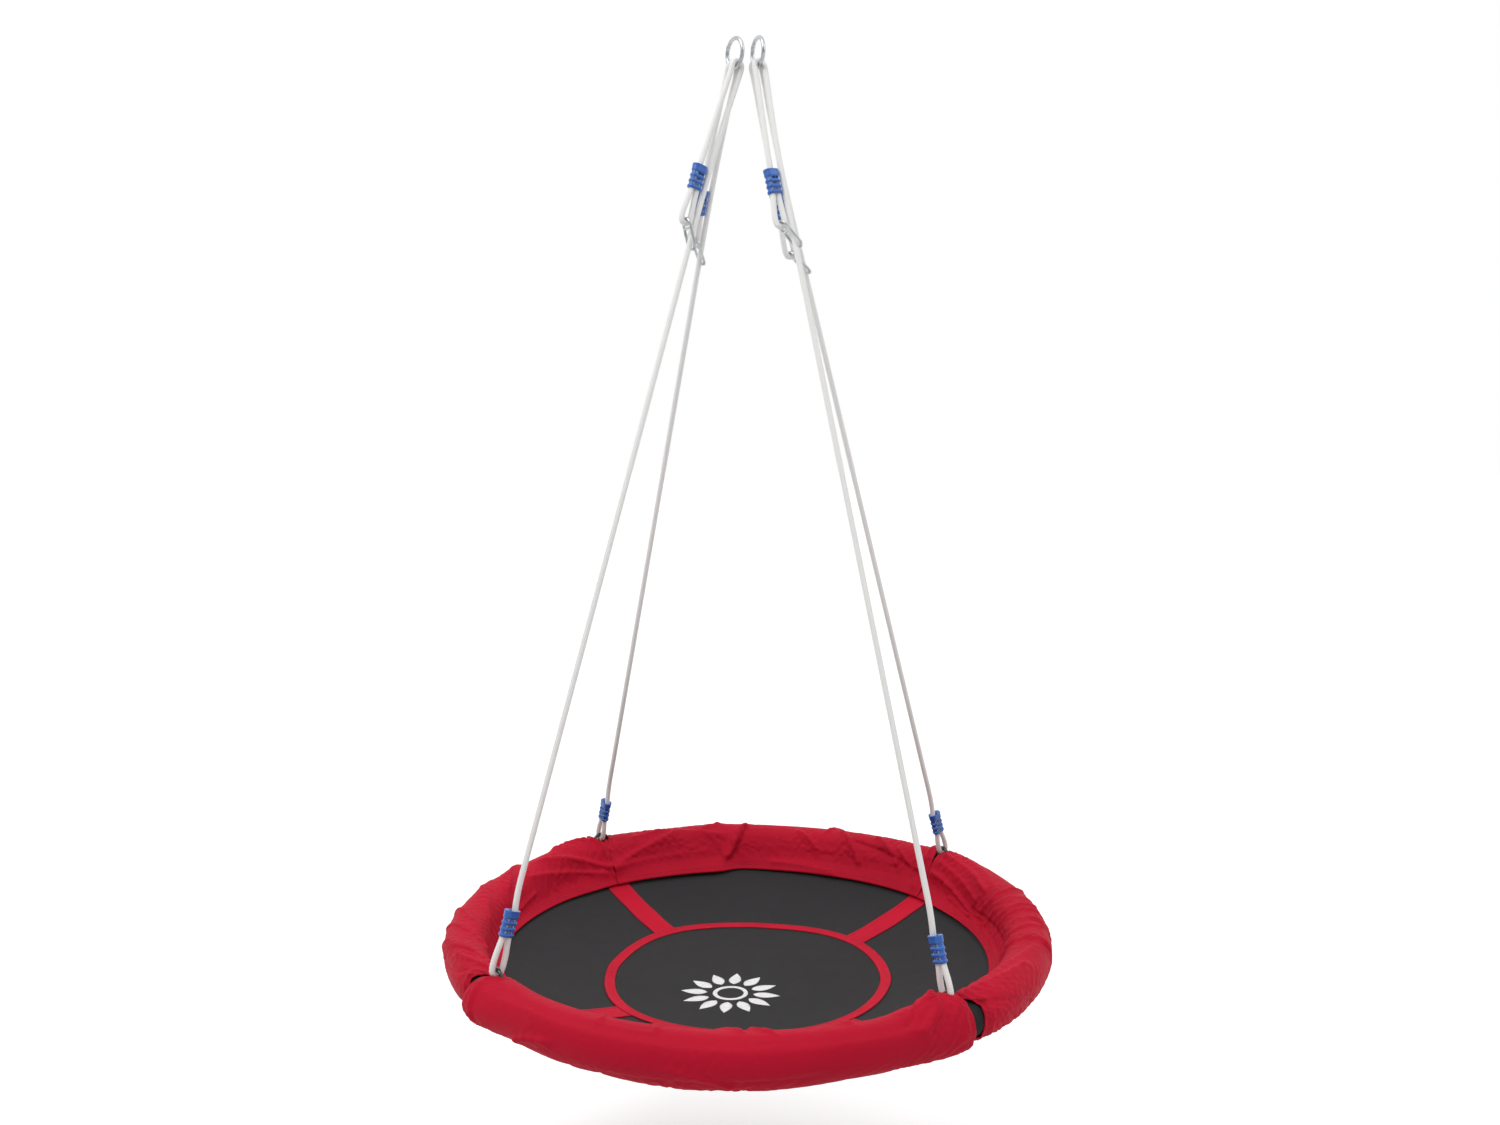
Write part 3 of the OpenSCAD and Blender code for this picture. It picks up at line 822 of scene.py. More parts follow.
def make_adjuster(c):
    """A wire link, bent from one rod and butt welded, with a cross bar welded between its sides."""
    place = c.high(-(ADJUSTER_DROP[c.k] - LINK_RISE) / MM, LOOP_OFFSET)
    lean = math.radians(LINK_LEAN)
    z = math.sin(lean) * c.top_side + math.cos(lean) * c.axis
    y = np.cross(c.axis, c.top_side)
    end_r = LINK_WIDTH / 2 - LINK_WIRE_R
    reach = LINK_LENGTH - 2 * LINK_WIRE_R - 2 * end_r
    top, bottom = place - end_r * z, place - (end_r + reach) * z
    line = np.vstack([arc(top, y, z, end_r, 0, 180, 33), arc(bottom, y, z, end_r, 180, 360, 33)])
    line = resampled(np.vstack([line, line[:1]]), 1.1 * MM)[:-1]
    weld = weld_bump(math.pi * end_r + reach / 2, 2.6 * MM, 0.35 * MM)
    wire = tube_object("wire", line, LINK_WIRE_R, 20, "zinc_steel", closed=True, relief=weld)
    middle = place - LINK_BAR * z
    bar_line = middle + np.linspace(-end_r, end_r, 14)[:, None] * y
    parts = [wire, tube_object("bar", bar_line, LINK_WIRE_R, 20, "zinc_steel")]
    for s in (-1, 1):
        for t in (-1, 1):
            bead = middle + s * (end_r - 2.2 * MM) * y + t * 1.9 * MM * z
            parts.append(blob("bead", bead, y, 4.4 * MM, 1.5 * MM, "zinc_steel"))
    link = joined(f"adjuster_link_{c.name}", parts)
    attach(link, f"adjuster_{c.name}")
    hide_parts(f"height_adjuster_{c.name}")


# The eye bolt's collar and shank as [radius, height] from the tube's centreline, in millimetres
BOLT_OUTLINE = [(0.1, -22), (3.2, -22), (4, -21.2), (4, 14.3), (6.6, 14.3), (7.2, 14.9), (7.2, 17.6),
                (6.7, 18.6), (5.4, 19.3), (4.5, 20.4), (4.0, 22), (3.2, 23), (0.1, 23.3)]


def make_eye_bolt(c):
    centre = FRAME_R * c.out + UP * (SEAT_Z + EYE_HEIGHT)
    tangent = np.cross(UP, c.out)
    line = arc(centre, tangent, UP, EYE_R, -90, 270, 121)[:-1]
    eye = tube_object("eye", line, EYE_WIRE_R, 24, "black_steel", closed=True)
    stem = lathe_object("stem", np.array(BOLT_OUTLINE) * MM, FRAME_R * c.out + UP * SEAT_Z,
                        (c.out, tangent, UP), 40, "black_steel")
    bolt = joined(f"eye_bolt_steel_{c.name}", [eye, stem])
    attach(bolt, "seat")
    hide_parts(f"eye_bolt_{c.name}")


def finish_cad_nodes():
    """The nodes whose CAD shape is already right: tubes, washers and nuts, with their edges eased."""
    for name, material, edge in [(f"frame_tube_{s}", "tube_steel", 0.5) for s in SIDES] + [
            ("eye_bolt_washers", "black_steel", 0.25), ("eye_bolt_nuts", "black_steel", 0.35)]:
        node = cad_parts[name]
        node.data.materials.clear()
        node.data.materials.append(MATERIALS[material])
        modify(node, "BEVEL", width=edge * MM, segments=2, limit_method="ANGLE", angle_limit=math.radians(40))


# --- Foam sleeves ---------------------------------------------------------------------------------

FOAM_GAP = 27 * MM


def side_angles(k, gap, count):
    """Angles round the seat for side k, between gaps at its two corners."""
    g = math.degrees(gap / FRAME_R)
    return np.radians(CORNER_ANGLE[k] + np.linspace(g, 90 - g, count))


def round_seat(angles, x, y):
    """Points at x outward and y up from the frame tube's centreline, at angles round the seat."""
    r = FRAME_R + x
    return np.stack([r * np.cos(angles), r * np.sin(angles), SEAT_Z + y + 0 * r], -1)


def make_foam(k):
    """A foam sleeve: cut ends, a slit along its inside, and the soft dents of foam under a tight cover."""
    rows, cols = 90, 40
    angles = side_angles(k, FOAM_GAP, rows)
    radii = np.full(rows, FOAM_R)
    ends = [(1, 0.985), (2, 0.95), (1, 0.5)]
    angles = np.concatenate([[angles[0]] * len(ends), angles, [angles[-1]] * len(ends)])
    inner = (TUBE_R + 0.4 * MM) / FOAM_R
    start = FOAM_R * np.array([inner, 0.8, 0.97])
    radii = np.concatenate([start, radii, start[::-1]])
    turn = np.arange(cols) * 2 * math.pi / cols
    dent = 0.5 * MM * np.sin(9 * angles[:, None] + 2 * np.sin(turn)[None, :] + k)
    slit = 1.6 * MM * np.exp(-((turn[None, :] - math.pi) / 0.09) ** 2)
    r = np.minimum(radii[:, None] + dent - slit, FOAM_R) - 1 * MM
    r[:3] = start[:, None]
    r[-3:] = start[::-1, None]
    points = round_seat(angles[:, None], r * np.cos(turn), r * np.sin(turn))
    u = np.arange(cols + 1) * 2 * math.pi * FOAM_R / cols
    foam = grid_object(f"foam_roll_{SIDES[k]}", points, u, angles * FRAME_R, "black_foam",
                       wrap_cols=True, flip=True)
    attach(foam, "seat")
    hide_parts(f"foam_sleeve_{SIDES[k]}")


# --- Mat ------------------------------------------------------------------------------------------

MESH_WALL = 1.0 * MM
BINDING_WIDTH = 20 * MM
STRAP_WIDTH = 48 * MM
SKIRT_R = 440 * MM


def ripple(x, y):
    """Small waves of the mat between its straps: cloth under uneven pull."""
    r, a = np.hypot(x, y), np.arctan2(y, x)
    share = np.clip(r / MESH_R, 0, 1)
    waves = np.sin(8 * a + 0.6) + 0.6 * np.sin(13 * a - 2.1 * share) + 0.5 * np.sin(21 * a + 9 * share)
    return 0.9 * MM * waves * share ** 2 * (1.05 - share)


def mat_point(x, y, lift=0.0):
    """The place of a point of the mat's flat pattern, which draws in between the straps."""
    r, a = np.hypot(x, y), np.arctan2(y, x)
    back, left, front = np.maximum(np.sin(a), 0), np.maximum(-np.cos(a), 0), np.maximum(-np.sin(a), 0)
    between = (1 + np.cos(4 * a)) / 2
    drawn = between * (0.012 + 0.05 * back + 0.022 * left + 0.02 * front)
    fade = smoothstep((MESH_R - r) / (MESH_R - BINDING_R))
    scale = 1 - drawn * fade
    sag = 5 * MM * (0.4 + 0.6 * back + 0.3 * left) * np.exp(-((r - BINDING_R) / (90 * MM)) ** 2)
    return np.stack([x * scale, y * scale, SEAT_Z + mat_z(r) + ripple(x, y) - sag + lift], -1)


def mat_ring(name, inner, outer, rows, cols, material, lift, wall):
    """A layer of the mat between two radii."""
    r = np.linspace(inner, outer, rows)[:, None]
    a = np.arange(cols) * 2 * math.pi / cols
    points = mat_point(r * np.cos(a), r * np.sin(a), lift)
    quads, ring_i, ring_j = grid_parts(rows, cols, True)
    flat = points.reshape(-1, 3)
    uv = flat[quads][..., :2]
    if material == "red_webbing":
        uv = np.stack([ring_i * (outer - inner) / (rows - 1), ring_j * 2 * math.pi * outer / cols], -1)
    faces = quads[:, ::-1].tolist()
    layer = mesh_object(name, flat, faces, material, uv[:, ::-1].reshape(-1, 2))
    modify(layer, "SOLIDIFY", thickness=wall, offset=-1)
    baked(layer)
    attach(layer, "seat")
    return layer


def stitches(name, lines, pitch, thread_r, material):
    """Running stitches along lines on a surface, each a short thread that dips in at both ends."""
    shares = np.array([0.0, 0.16, 0.5, 0.84, 1.0])
    heights = np.array([-0.6, 0.35, 0.6, 0.35, -0.6]) * thread_r
    radii = np.array([0.45, 0.9, 1.0, 0.9, 0.45]) * thread_r
    turn = np.arange(6) * math.pi / 3
    points, faces = [], []
    for line, normals in lines:
        along = lengths_along(line)
        count = int(along[-1] / pitch)
        for i in range(count):
            at = (i + 0.14 + 0.72 * shares) * pitch
            spine = np.stack([np.interp(at, along, line[:, j]) for j in range(3)], 1)
            normal = unit([np.interp(at[2], along, normals[:, j]) for j in range(3)])
            ahead = unit(spine[-1] - spine[0])
            side = np.cross(ahead, normal)
            spine = spine + heights[:, None] * normal
            rings = spine[:, None] + radii[:, None, None] * (np.cos(turn)[:, None] * side
                                                             + np.sin(turn)[:, None] * normal)
            base = len(points) * 30
            quads, _, _ = grid_parts(5, 6, True)
            faces += (quads + base).tolist()
            points.append(rings.reshape(-1, 3))
    made = mesh_object(name, np.vstack(points), faces, material)
    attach(made, "seat")
    return made


def circle_on_mat(r, lift):
    a = np.linspace(0, 2 * math.pi, 400)
    line = mat_point(r * np.cos(a), r * np.sin(a), lift)
    return line, np.tile(UP, (len(line), 1))


def strap_line(c, sideways, inner, outer, lift, count=24):
    """A line along a strap, at a distance to one side of its middle."""
    tangent = np.cross(UP, c.out)
    r = np.linspace(inner, outer, count)[:, None]
    xy = r * c.out + sideways * tangent
    line = mat_point(xy[:, 0], xy[:, 1], lift)
    return line, np.tile(UP, (count, 1))


def make_strap(c):
    """A cross strap: a flat band from the binding to the corner, with folded edges and a little slack."""
    rows, cols = 30, 15
    outer = SKIRT_R + 8 * MM
    r = np.linspace(BINDING_R - 6 * MM, outer, rows)
    s = np.linspace(-1, 1, cols)
    tangent = np.cross(UP, c.out)
    edge = 1 + 0.02 * np.sin(r * 70 + c.k)[:, None]
    xy = r[:, None, None] * c.out + (s * STRAP_WIDTH / 2 * edge)[..., None] * tangent
    fold = 0.45 * MM * (np.abs(s) > 0.8)
    slack = 0.8 * MM * np.sin((r - r[0]) / (r[-1] - r[0]) * 3 * math.pi + c.k)[:, None] * (1 - s ** 2)
    lift = 1.5 * MM + fold[None, :] + np.abs(slack)
    # the strap's end tucks under the binding ring
    lift = lift - 1.2 * MM * np.clip(1 - (r - r[0]) / (10 * MM), 0, 1)[:, None]
    points = mat_point(xy[..., 0], xy[..., 1], lift)
    strap = grid_object(f"cross_strap_{c.name}", points, s * STRAP_WIDTH / 2, r, "red_webbing", flip=True)
    modify(strap, "SOLIDIFY", thickness=1.1 * MM, offset=-1)
    baked(strap)
    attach(strap, "seat")
    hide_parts(f"strap_{c.name}")
    lines = [strap_line(c, side * (STRAP_WIDTH / 2 - 5 * MM), BINDING_R + 2 * MM, SKIRT_R - 4 * MM, 2.1 * MM)
             for side in (-1, 1)]
    seam = stitches(f"strap_stitches_{c.name}", lines, 4.2 * MM, 0.42 * MM, "red_thread")


def make_mat():
    mesh = mat_ring("mesh_ring", PANEL_R - 6 * MM, MESH_R, 26, 240, "black_mesh", 0, MESH_WALL)
    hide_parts("mat_mesh")
    panel = mat_disc()
    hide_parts("centre_panel")
    binding = mat_ring("binding_ring", BINDING_R - BINDING_WIDTH, BINDING_R, 9, 240, "red_webbing", 2.4 * MM,
                       1.3 * MM)
    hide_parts("centre_binding")
    lines = [circle_on_mat(r, 2.5 * MM) for r in (BINDING_R - 3 * MM, BINDING_R - BINDING_WIDTH + 3 * MM)]
    seam = stitches("binding_stitches", lines, 4.2 * MM, 0.42 * MM, "red_thread")
    hem = stitches("panel_stitches", [circle_on_mat(PANEL_R - 14 * MM, 0.9 * MM)], 4.2 * MM, 0.36 * MM,
                   "black_thread")


def mat_disc():
    """The centre panel, as a grid folded into a disc so that its weave runs straight."""
    n = 61
    s = np.linspace(-1, 1, n)
    a, b = np.meshgrid(s, s, indexing="ij")
    # an even map of the square onto the disc
    x = PANEL_R * a * np.sqrt(1 - b ** 2 / 2)
    y = PANEL_R * b * np.sqrt(1 - a ** 2 / 2)
    points = mat_point(x, y, 0.6 * MM)
    panel = grid_object("centre_panel_cloth", points, s * PANEL_R, s * PANEL_R, "black_panel", flip=True)
    layer = panel.data.uv_layers[0]
    corners_of = np.zeros(len(panel.data.loops), int)
    panel.data.loops.foreach_get("vertex_index", corners_of)
    layer.data.foreach_set("uv", points.reshape(-1, 3)[corners_of][:, :2].astype(np.float32).ravel())
    modify(panel, "SOLIDIFY", thickness=MESH_WALL, offset=-1)
    baked(panel)
    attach(panel, "seat")
    return panel


def make_emblem():
    """A plain printed daisy in place of any mark: twelve petals round a ring."""
    centre = np.array([-0.02, -0.075])
    petal_start, petal_length, petal_width = 0.042, 0.048, 11 * MM
    ring_inner, ring_outer = 0.024, 0.032
    height = 0.85 * MM
    parts = []
    petals = 12
    for i in range(petals):
        a = 2 * math.pi * i / petals
        along, over = np.array([math.cos(a), math.sin(a)]), np.array([-math.sin(a), math.cos(a)])
        t = np.linspace(0, 1, 11)
        width = petal_width * np.sin(math.pi * t ** 0.75) + 0.3 * MM
        mid = centre + (petal_start + petal_length * t)[:, None] * along
        s = np.linspace(-1, 1, 5)
        xy = mid[:, None] + (width[:, None] * s)[..., None] * over
        points = mat_point(xy[..., 0], xy[..., 1], height)
        parts.append(grid_object("petal", points, s * 0.01, t * 0.05, "white_print",
                                 flip=True))
    a = np.arange(64) * 2 * math.pi / 64
    r = np.linspace(ring_inner, ring_outer, 4)[:, None]
    points = mat_point(centre[0] + r * np.cos(a), centre[1] + r * np.sin(a), height)
    parts.append(grid_object("ring", points, np.arange(65) * 2.5 * MM, r[:, 0], "white_print",
                             True, flip=True))
    emblem = joined("printed_daisy", parts)
    modify(emblem, "SOLIDIFY", thickness=0.3 * MM, offset=-1)
    baked(emblem)
    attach(emblem, "seat")

# --- Covers ---------------------------------------------------------------------------------------

# The cover's section as [outward, up] from the tube's centreline, in millimetres. It starts at the skirt's
# inner edge, runs over the roll and comes back underneath, so the skirt is doubled.
SECTION = [(-70, -35), (-62, -32), (-53, -28), (-45, -21), (-41, -6), (-36, 14), (-24, 31), (-6, 40),
           (12, 41), (27, 33), (37, 20), (41, 4), (38, -13), (31, -26), (18, -35), (0, -39), (-20, -38),
           (-38, -38), (-52, -39), (-62, -39)]
# How each share of a change moves the section's points, as {point: [outward, up]}
CHANGES = (
    {5: (0, 0.3), 6: (0, 0.7), 7: (0, 1), 8: (0, 1), 9: (0, 0.8), 10: (0, 0.4)},
    {9: (0.5, 0), 10: (0.8, 0), 11: (1, 0), 12: (0.9, 0), 13: (0.6, 0)},
    {12: (0, -0.3), 13: (0, -0.7), 14: (0, -1), 15: (0, -1), 16: (0, -0.8), 17: (0, -0.4)},
    {0: (-1, 0), 1: (-0.8, 0), 2: (-0.3, 0), 18: (-0.7, 0), 19: (-1, 0)},
    {1: (-1, 6), 2: (-4, 11), 3: (-5, 13), 4: (-2, 10), 5: (1, 2)},
)
# Each cover's changes along its length: [share of its length, top higher, outside wider, underside lower,
# skirt wider], in millimetres, and how straight its inside drops from the top to the skirt's edge, 0 to 1
SHAPES = {
    "front": [(0, 5, 13, 2, 0, 0), (0.045, 6, 9, 0, 0, 0), (0.11, 1, -3, -4, 0, 0), (0.3, 0, 0, 1, 0, 0),
              (0.45, 0, 1, 6, 0, 0), (0.6, 0, 1, 4, 0, 0), (0.75, 0, -2, -4, 0, 0), (0.86, 0, -3, -3, 0, 0),
              (0.915, 8, -1, 0, 0, 0), (0.96, 20, 3, 3, 0, 0), (1, 14, 8, 3, 0, 0)],
    "right": [(0, -5, -9, -5, 0, 0), (0.05, 0, -2, -3, 0, 0), (0.4, 0, 0, 0, -3, -0.2),
              (0.78, 3, 1, 0, 6, -0.7), (0.9, 5, 0, 0, 8, 0.3), (1, 9, 2, 0, 2, 0.7)],
    "back": [(0, 9, 0, 0, 2, 0.9), (0.06, 0, 0, 0, 2, 1), (0.3, -2, 0, 0, 4, 0.8), (0.48, -2, 0, 0, 0, 0.8),
             (0.61, 0, 0, 0, -8, 0.7), (0.66, 3, 0, 0, 10, 0.9), (0.82, -2, 0, 0, 9, 0.9),
             (1, 4, 0, 0, 2, 1)],
    "left": [(0, 5, 0, -2, 0, 0.9), (0.08, 6, -1, -3, 2, 0.9), (0.2, -2, -5, -4, -4, 0.5),
             (0.5, -4, -6, -4, -7, 0.2), (0.85, -3, -5, -4, 0, 0), (0.94, -3, -4, -4, 0, 0),
             (1, -5, -10, -10, 0, 0)],
}
COVER_ROWS = 121
COVER_COLS = 60
COVER_LENGTH = FRAME_R * math.pi / 2
SECTION_LENGTH = 0.335
# How far each cover's two ends pass their corners, in millimetres, at these places outward from the tube
REACH_AT = (-60, -34, -14, 0, 12, 24, 40)
REACH = {
    "front": ((-1, -1, -8, -9, 4, 14, 20), (-1, -1, -8, -9, 6, 14, 16)),
    "right": ((-1, -3, -14, -28, -43, -54, -54), (-1, 0, -5, -11, -10, -9, -9)),
    "back": ((0, 0, -5, -11, -10, -10, -10), (2, 3, -2, -11, -9, -6, -5)),
    "left": ((2, 3, -2, -11, -9, -6, -5), (-1, -4, -16, -28, -42, -52, -34)),
}
# Folds of each cover, as the places of both ends (share along the cover, share round its section), the fold's
# height and its half width in millimetres. A fold is steeper on one side.
FOLDS = {
    "front": [(0.10, 0.475, 0.90, 0.475, 2.5, 12), (0.99, 0.31, 0.895, 0.50, 9, 12),
              (0.93, 0.31, 0.87, 0.44, -4, 9), (0.02, 0.34, 0.15, 0.5, -3, 13),
              (0.15, 0.60, 0.21, 0.57, 6, 9), (0.27, 0.25, 0.31, 0.38, 5, 8),
              (0.40, 0.25, 0.42, 0.36, 4, 7), (0.52, 0.24, 0.57, 0.36, 5, 8),
              (0.60, 0.25, 0.63, 0.35, 4, 7), (0.72, 0.25, 0.78, 0.34, 4, 8), (0.3, 0.66, 0.7, 0.60, -4, 14),
              (0.45, 0.57, 0.55, 0.63, 4, 10), (0.015, 0.34, 0.015, 0.60, 3, 8),
              (0.985, 0.34, 0.985, 0.60, 3, 8)],
    "right": [(0.98, 0.19, 0.80, 0.12, 5, 8), (0.98, 0.25, 0.78, 0.20, 5, 8), (0.97, 0.31, 0.76, 0.27, 5, 8),
              (0.93, 0.38, 0.72, 0.34, 4, 9), (0.02, 0.33, 0.22, 0.42, 5, 10),
              (0.08, 0.26, 0.34, 0.40, 5, 11), (0.02, 0.45, 0.18, 0.56, -4, 10),
              (0.78, 0.15, 0.48, 0.13, -6, 9), (0.9, 0.10, 0.72, 0.05, 4, 8), (0.42, 0.22, 0.36, 0.47, 4, 11),
              (0.5, 0.38, 0.44, 0.58, -4, 10), (0.66, 0.52, 0.58, 0.62, -3, 10)],
    "back": [(0.99, 0.12, 0.79, 0.31, 8, 12), (0.98, 0.10, 0.70, 0.17, 4, 10),
             (0.575, 0.325, 0.63, 0.09, 8.5, 11), (0.70, 0.32, 0.66, 0.37, 4, 12),
             (0.31, 0.33, 0.24, 0.15, 7, 10), (0.19, 0.33, 0.12, 0.16, 7, 9),
             (0.43, 0.31, 0.37, 0.17, 5, 10), (0.12, 0.30, 0.07, 0.14, 5, 8), (0.02, 0.08, 0.02, 0.36, 5, 9),
             (0.5, 0.06, 0.3, 0.04, 4, 8), (0.25, 0.28, 0.02, 0.12, -5, 9), (0.9, 0.3, 0.8, 0.36, 4, 9),
             (0.88, 0.34, 0.66, 0.26, 4, 9), (0.36, 0.34, 0.33, 0.42, 4, 10)],
    "left": [(0.20, 0.33, 0.02, 0.15, 9, 11), (0.28, 0.24, 0.03, 0.10, 6, 9), (0.12, 0.42, 0.03, 0.34, 6, 11),
             (0.30, 0.10, 0.52, 0.07, 4, 8), (0.97, 0.30, 0.88, 0.44, 5, 9), (0.95, 0.46, 0.80, 0.52, -4, 10),
             (0.012, 0.08, 0.012, 0.40, 4, 7), (0.24, 0.48, 0.40, 0.26, 5, 16),
             (0.36, 0.52, 0.50, 0.27, 3, 13), (0.44, 0.44, 0.56, 0.22, 4, 13),
             (0.54, 0.54, 0.68, 0.26, 3, 14), (0.66, 0.46, 0.77, 0.24, 4, 12),
             (0.72, 0.56, 0.86, 0.34, 3, 13), (0.82, 0.44, 0.91, 0.27, 3, 9)],
}
# The right cover is drawn up in a row of much the same folds
FOLDS["right"] += [(0.71 - i * 0.045, 0.23, 0.68 - i * 0.045, 0.43, 3.2, 9) for i in range(8)]
FABRIC = 1.3 * MM
# How much narrower a fold is on its steep side
STEEP = 0.4
# The shares of the folds' heights that a cover has before its cloth settles, and that are set in it after
FOLDS_BEFORE, FOLDS_AFTER = 0.5, 0.8
# Spare cloth as a share of a cover's size
SLACK = {"front": 0.006, "right": 0.022, "back": 0.018, "left": 0.022}
MOST_MOVE = 14 * MM
SETTLE_FRAMES = 18
# How far in from the tube a cover's skirt begins, in millimetres, and how firmly hems and the rest are held
SKIRT_FROM, HEM_HOLD, LEAST_HOLD = 44, 0.7, 0.02
# The form that the cloth settles on: its size beside the cover's, and how far in it reaches, in millimetres
FORM_SIZE, FORM_INSIDE = 0.93, 38


def smoothstep(t):
    t = np.clip(t, 0, 1)
    return t * t * (3 - 2 * t)


def even_section(control, count):
    """Points spaced evenly round the closed curve through a section's points."""
    loop = smooth_path(np.c_[control, np.zeros(len(control))], 0.5, closed=True)
    along = lengths_along(loop)
    at = np.arange(count) * along[-1] / count
    return np.stack([np.interp(at, along, loop[:, i]) for i in range(2)], 1)


def cover_sections(side):
    """The section at each row of a cover, in millimetres, before its folds."""
    shares = np.linspace(0, 1, COVER_ROWS)
    table = np.array(SHAPES[side], float)
    amounts = [np.interp(shares, table[:, 0], table[:, i]) for i in range(1, 6)]
    evened = [np.convolve(np.pad(a, 3, mode="edge"), np.full(7, 1 / 7), "valid") for a in amounts]
    amounts = np.stack(evened, 1)
    rows = []
    for row in amounts:
        control = np.array(SECTION, float)
        for amount, change in zip(row, CHANGES):
            for point, move in change.items():
                control[point] += amount * np.array(move)
        rows.append(even_section(control, COVER_COLS))
    return np.array(rows)


def cover_points(k, sections):
    """Places a cover's sections round the seat, with its ends cut back round the eye bolts."""
    s = np.linspace(0, 1, len(sections))[:, None]
    x = sections[..., 0]
    ends = [np.degrees(np.interp(x, REACH_AT, reach) * MM / FRAME_R) for reach in REACH[SIDES[k]]]
    angle = CORNER_ANGLE[k] - ends[0] + s * (90 + ends[0] + ends[1])
    return round_seat(np.radians(angle), x * MM, sections[..., 1] * MM)


def outward(points):
    """Unit normals of a cover's grid, away from its inside."""
    along = np.gradient(points, axis=0)
    round_it = np.roll(points, -1, 1) - np.roll(points, 1, 1)
    normal = np.cross(round_it, along)
    return normal / np.linalg.norm(normal, axis=2)[..., None]


def fold_heights(side, rows, cols):
    """How far the folds stand off each point of a cover's grid, in metres."""
    s = np.linspace(0, 1, rows)[:, None] * COVER_LENGTH
    t = (np.arange(cols) / cols)[None, :] * SECTION_LENGTH
    heights = np.zeros((rows, cols))
    random = np.random.default_rng(len(side))
    for s0, t0, s1, t1, height, width in FOLDS[side]:
        vary = 1 + 0.3 * random.uniform(-1, 1, 2)
        slip = 7 * MM * random.uniform(-1, 1, 4)
        start = np.array([s0 * COVER_LENGTH, t0 * SECTION_LENGTH]) + slip[:2]
        ahead = np.array([s1 * COVER_LENGTH, t1 * SECTION_LENGTH]) + slip[2:] - start
        length = np.hypot(*ahead)
        ahead /= length
        reach = (s - start[0]) * ahead[0] + (t - start[1]) * ahead[1]
        off = (t - start[1]) * ahead[0] - (s - start[0]) * ahead[1]
        off += 4 * MM * np.sin(reach / length * 3 + 6 * vary[0])
        beyond = np.maximum(np.maximum(-reach, reach - length), 0)
        half = width * vary[0] * MM
        away = np.hypot(np.where(off > 0, off / half, off / (STEEP * half)), beyond / half)
        heights += height * vary[1] * MM * np.exp(-away ** 1.5)
    return heights


def refined(points):
    """The grid with a point added between each two, on the smooth surface through them. Its rows wrap."""
    before, after, far = np.roll(points, 1, 1), np.roll(points, -1, 1), np.roll(points, -2, 1)
    between = (9 * (points + after) - before - far) / 16
    wide = np.stack([points, between], 2).reshape(points.shape[0], -1, 3)
    ends = np.concatenate([2 * wide[:1] - wide[1:2], wide, 2 * wide[-1:] - wide[-2:-1]])
    between = (9 * (ends[1:-2] + ends[2:-1]) - ends[:-3] - ends[3:]) / 16
    grid = np.zeros((2 * len(wide) - 1, *wide.shape[1:]))
    grid[::2] = wide
    grid[1::2] = between
    return grid


def settle_cloth(cloth_obj, form_points, weights, slack):
    """Lets a cover hang on its form under gravity, with a little spare cloth, and keeps the result."""
    rows, cols = form_points.shape[:2]
    form = grid_object("form", form_points, np.arange(cols + 1), np.arange(rows), "red_fabric",
                       wrap_cols=True)
    modify(form, "COLLISION")
    form.collision.thickness_outer = 1.5 * MM
    form.collision.cloth_friction = 12
    pins = cloth_obj.vertex_groups.new(name="pin")
    for i, w in enumerate(weights.ravel()):
        if w > 0:
            pins.add([i], float(w), "REPLACE")
    cloth = modify(cloth_obj, "CLOTH")
    settings = cloth.settings
    settings.quality = 5
    settings.mass = 0.15
    settings.tension_stiffness = 18
    settings.compression_stiffness = 10
    settings.shear_stiffness = 5
    settings.bending_stiffness = 0.6
    settings.air_damping = 2
    settings.vertex_group_mass = "pin"
    settings.pin_stiffness = 0.6
    settings.shrink_min = -slack
    cloth.collision_settings.distance_min = 1.5 * MM
    cloth.collision_settings.collision_quality = 3
    scene = bpy.context.scene
    for step in range(1, SETTLE_FRAMES + 1):
        scene.frame_set(step)
    baked(cloth_obj)
    cloth_obj.vertex_groups.clear()
    scene.frame_set(1)
    bpy.data.objects.remove(form)


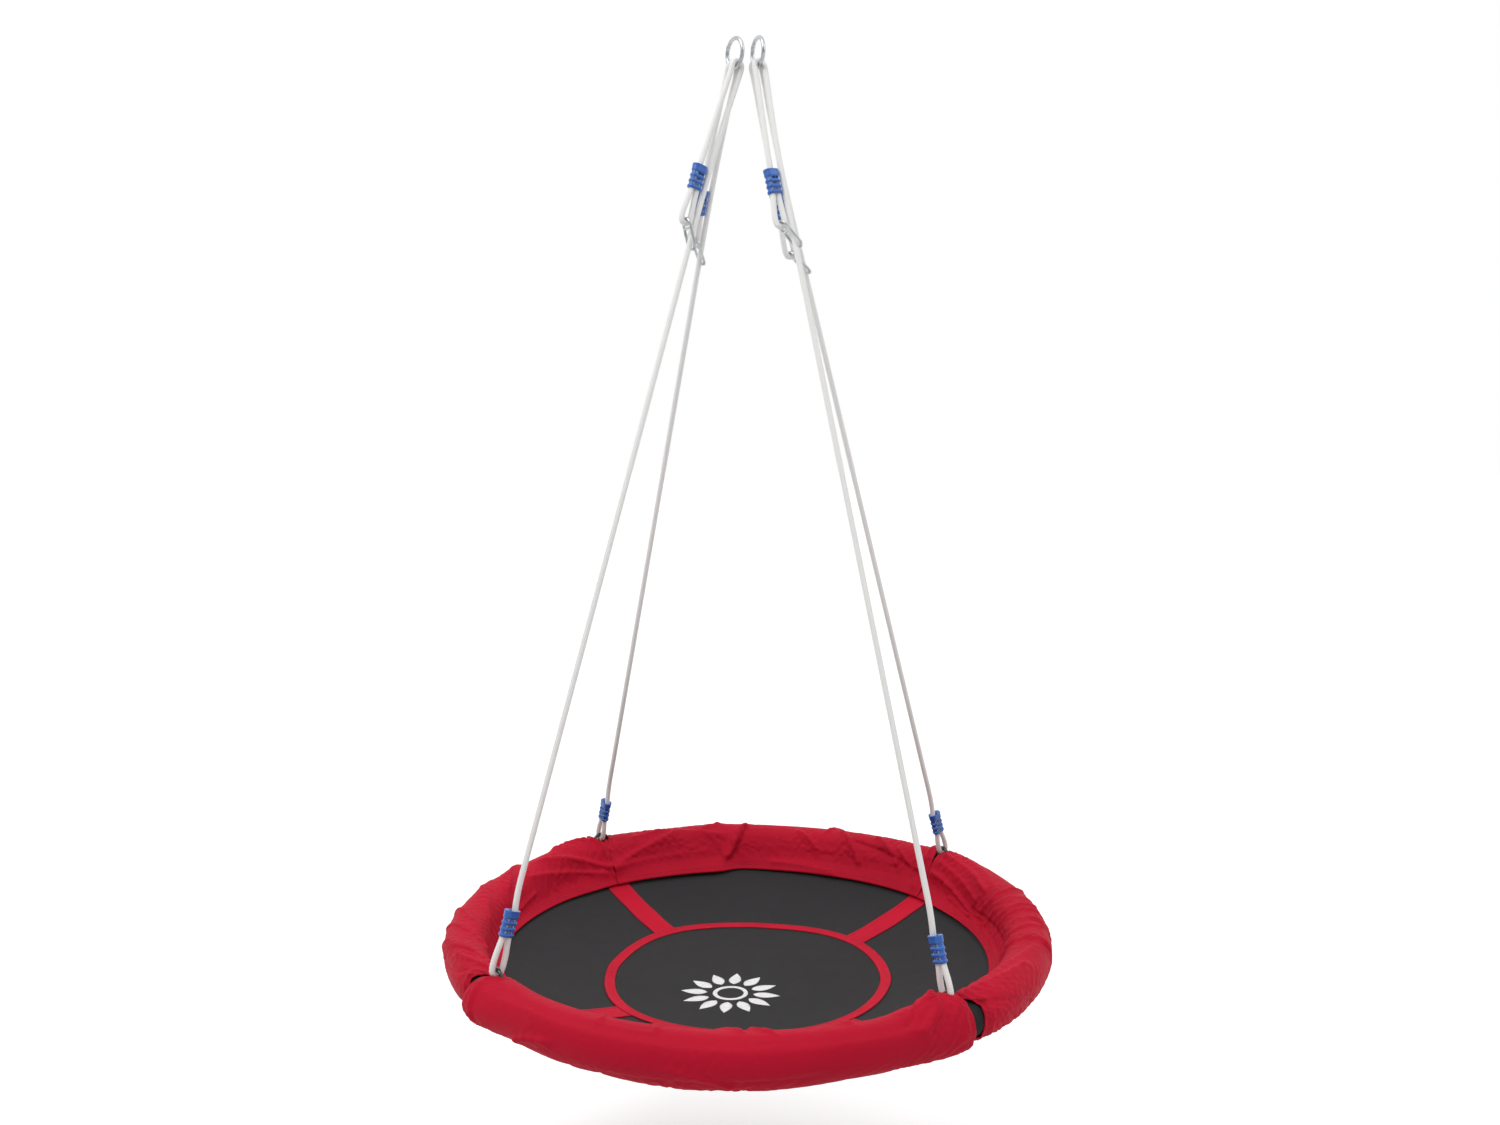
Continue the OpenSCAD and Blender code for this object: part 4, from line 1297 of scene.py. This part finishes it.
def settled(k, sections, points):
    """A cover's grid after its cloth has settled, with no point moved too far."""
    cols = np.arange(COVER_COLS + 1)
    cloth = grid_object("cloth", points, cols, np.arange(COVER_ROWS), "red_fabric", wrap_cols=True)
    x = sections[..., 0]
    # the skirt is held by its seam and the ends by their hems
    weights = smoothstep((-x - SKIRT_FROM) / 10)
    end = np.minimum(np.arange(COVER_ROWS), np.arange(COVER_ROWS)[::-1])[:, None]
    weights = np.maximum(weights, HEM_HOLD * smoothstep(1 - end / 3))
    weights = np.maximum(weights, LEAST_HOLD)
    form = sections * FORM_SIZE
    form[..., 0] = np.maximum(form[..., 0], -FORM_INSIDE)
    settle_cloth(cloth, cover_points(k, form)[2:-2], weights, SLACK[SIDES[k]])
    move = world_points(cloth).reshape(points.shape) - points
    bpy.data.objects.remove(cloth)
    size = np.linalg.norm(move, axis=2)[..., None]
    return points + move * np.minimum(1, MOST_MOVE / np.maximum(size, 1e-9))


SKIRT_SEAM_COL = 4
END_SEAM_ROW = 4


def cover_seams(side, points):
    """Stitches along the skirt, where it is sewn to the mesh, and along the hem at both ends."""
    normals = outward(points)
    middle = slice(8, -8)
    up = normals[middle, SKIRT_SEAM_COL]
    lines = [(points[middle, SKIRT_SEAM_COL] + 0.4 * MM * up, up)]
    visible = slice(12, 2 * COVER_COLS - 24)
    for row in (END_SEAM_ROW, -1 - END_SEAM_ROW):
        lines.append((points[row, visible] + 0.2 * MM * normals[row, visible], normals[row, visible]))
    return stitches(f"cover_stitches_{side}", lines, 4.6 * MM, 0.4 * MM, "red_thread")


def make_cover(k):
    """A loose fabric sleeve over the foam, its doubled skirt sewn to the mesh, open at the eye bolts."""
    side = SIDES[k]
    sections = cover_sections(side)
    base = cover_points(k, sections)
    before = FOLDS_BEFORE * fold_heights(side, COVER_ROWS, COVER_COLS)
    points = base + before[..., None] * outward(base)
    points = settled(k, sections, points)
    points = refined(points)
    rows, cols = points.shape[:2]
    points = points + FOLDS_AFTER * fold_heights(side, rows, cols)[..., None] * outward(points)
    u = np.arange(cols + 1) * SECTION_LENGTH / cols
    v = np.linspace(0, COVER_LENGTH, rows)
    cover = grid_object(f"cover_sleeve_{side}", points, u, v, "red_fabric", wrap_cols=True)
    modify(cover, "SOLIDIFY", thickness=FABRIC, offset=-1)
    baked(cover)
    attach(cover, "seat")
    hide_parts(f"cover_{side}", f"cover_skirt_{side}")
    seam = cover_seams(side, points)

# --- Making the object ----------------------------------------------------------------------------

for corner in corners:
    make_rope(corner)
    make_clamps(corner)
    make_adjuster(corner)
    make_eye_bolt(corner)
    make_strap(corner)
make_top_ring(-1, "top_ring_left")
make_top_ring(1, "top_ring_right")
finish_cad_nodes()
for k in range(4):
    make_foam(k)
    make_cover(k)
make_mat()
make_emblem()
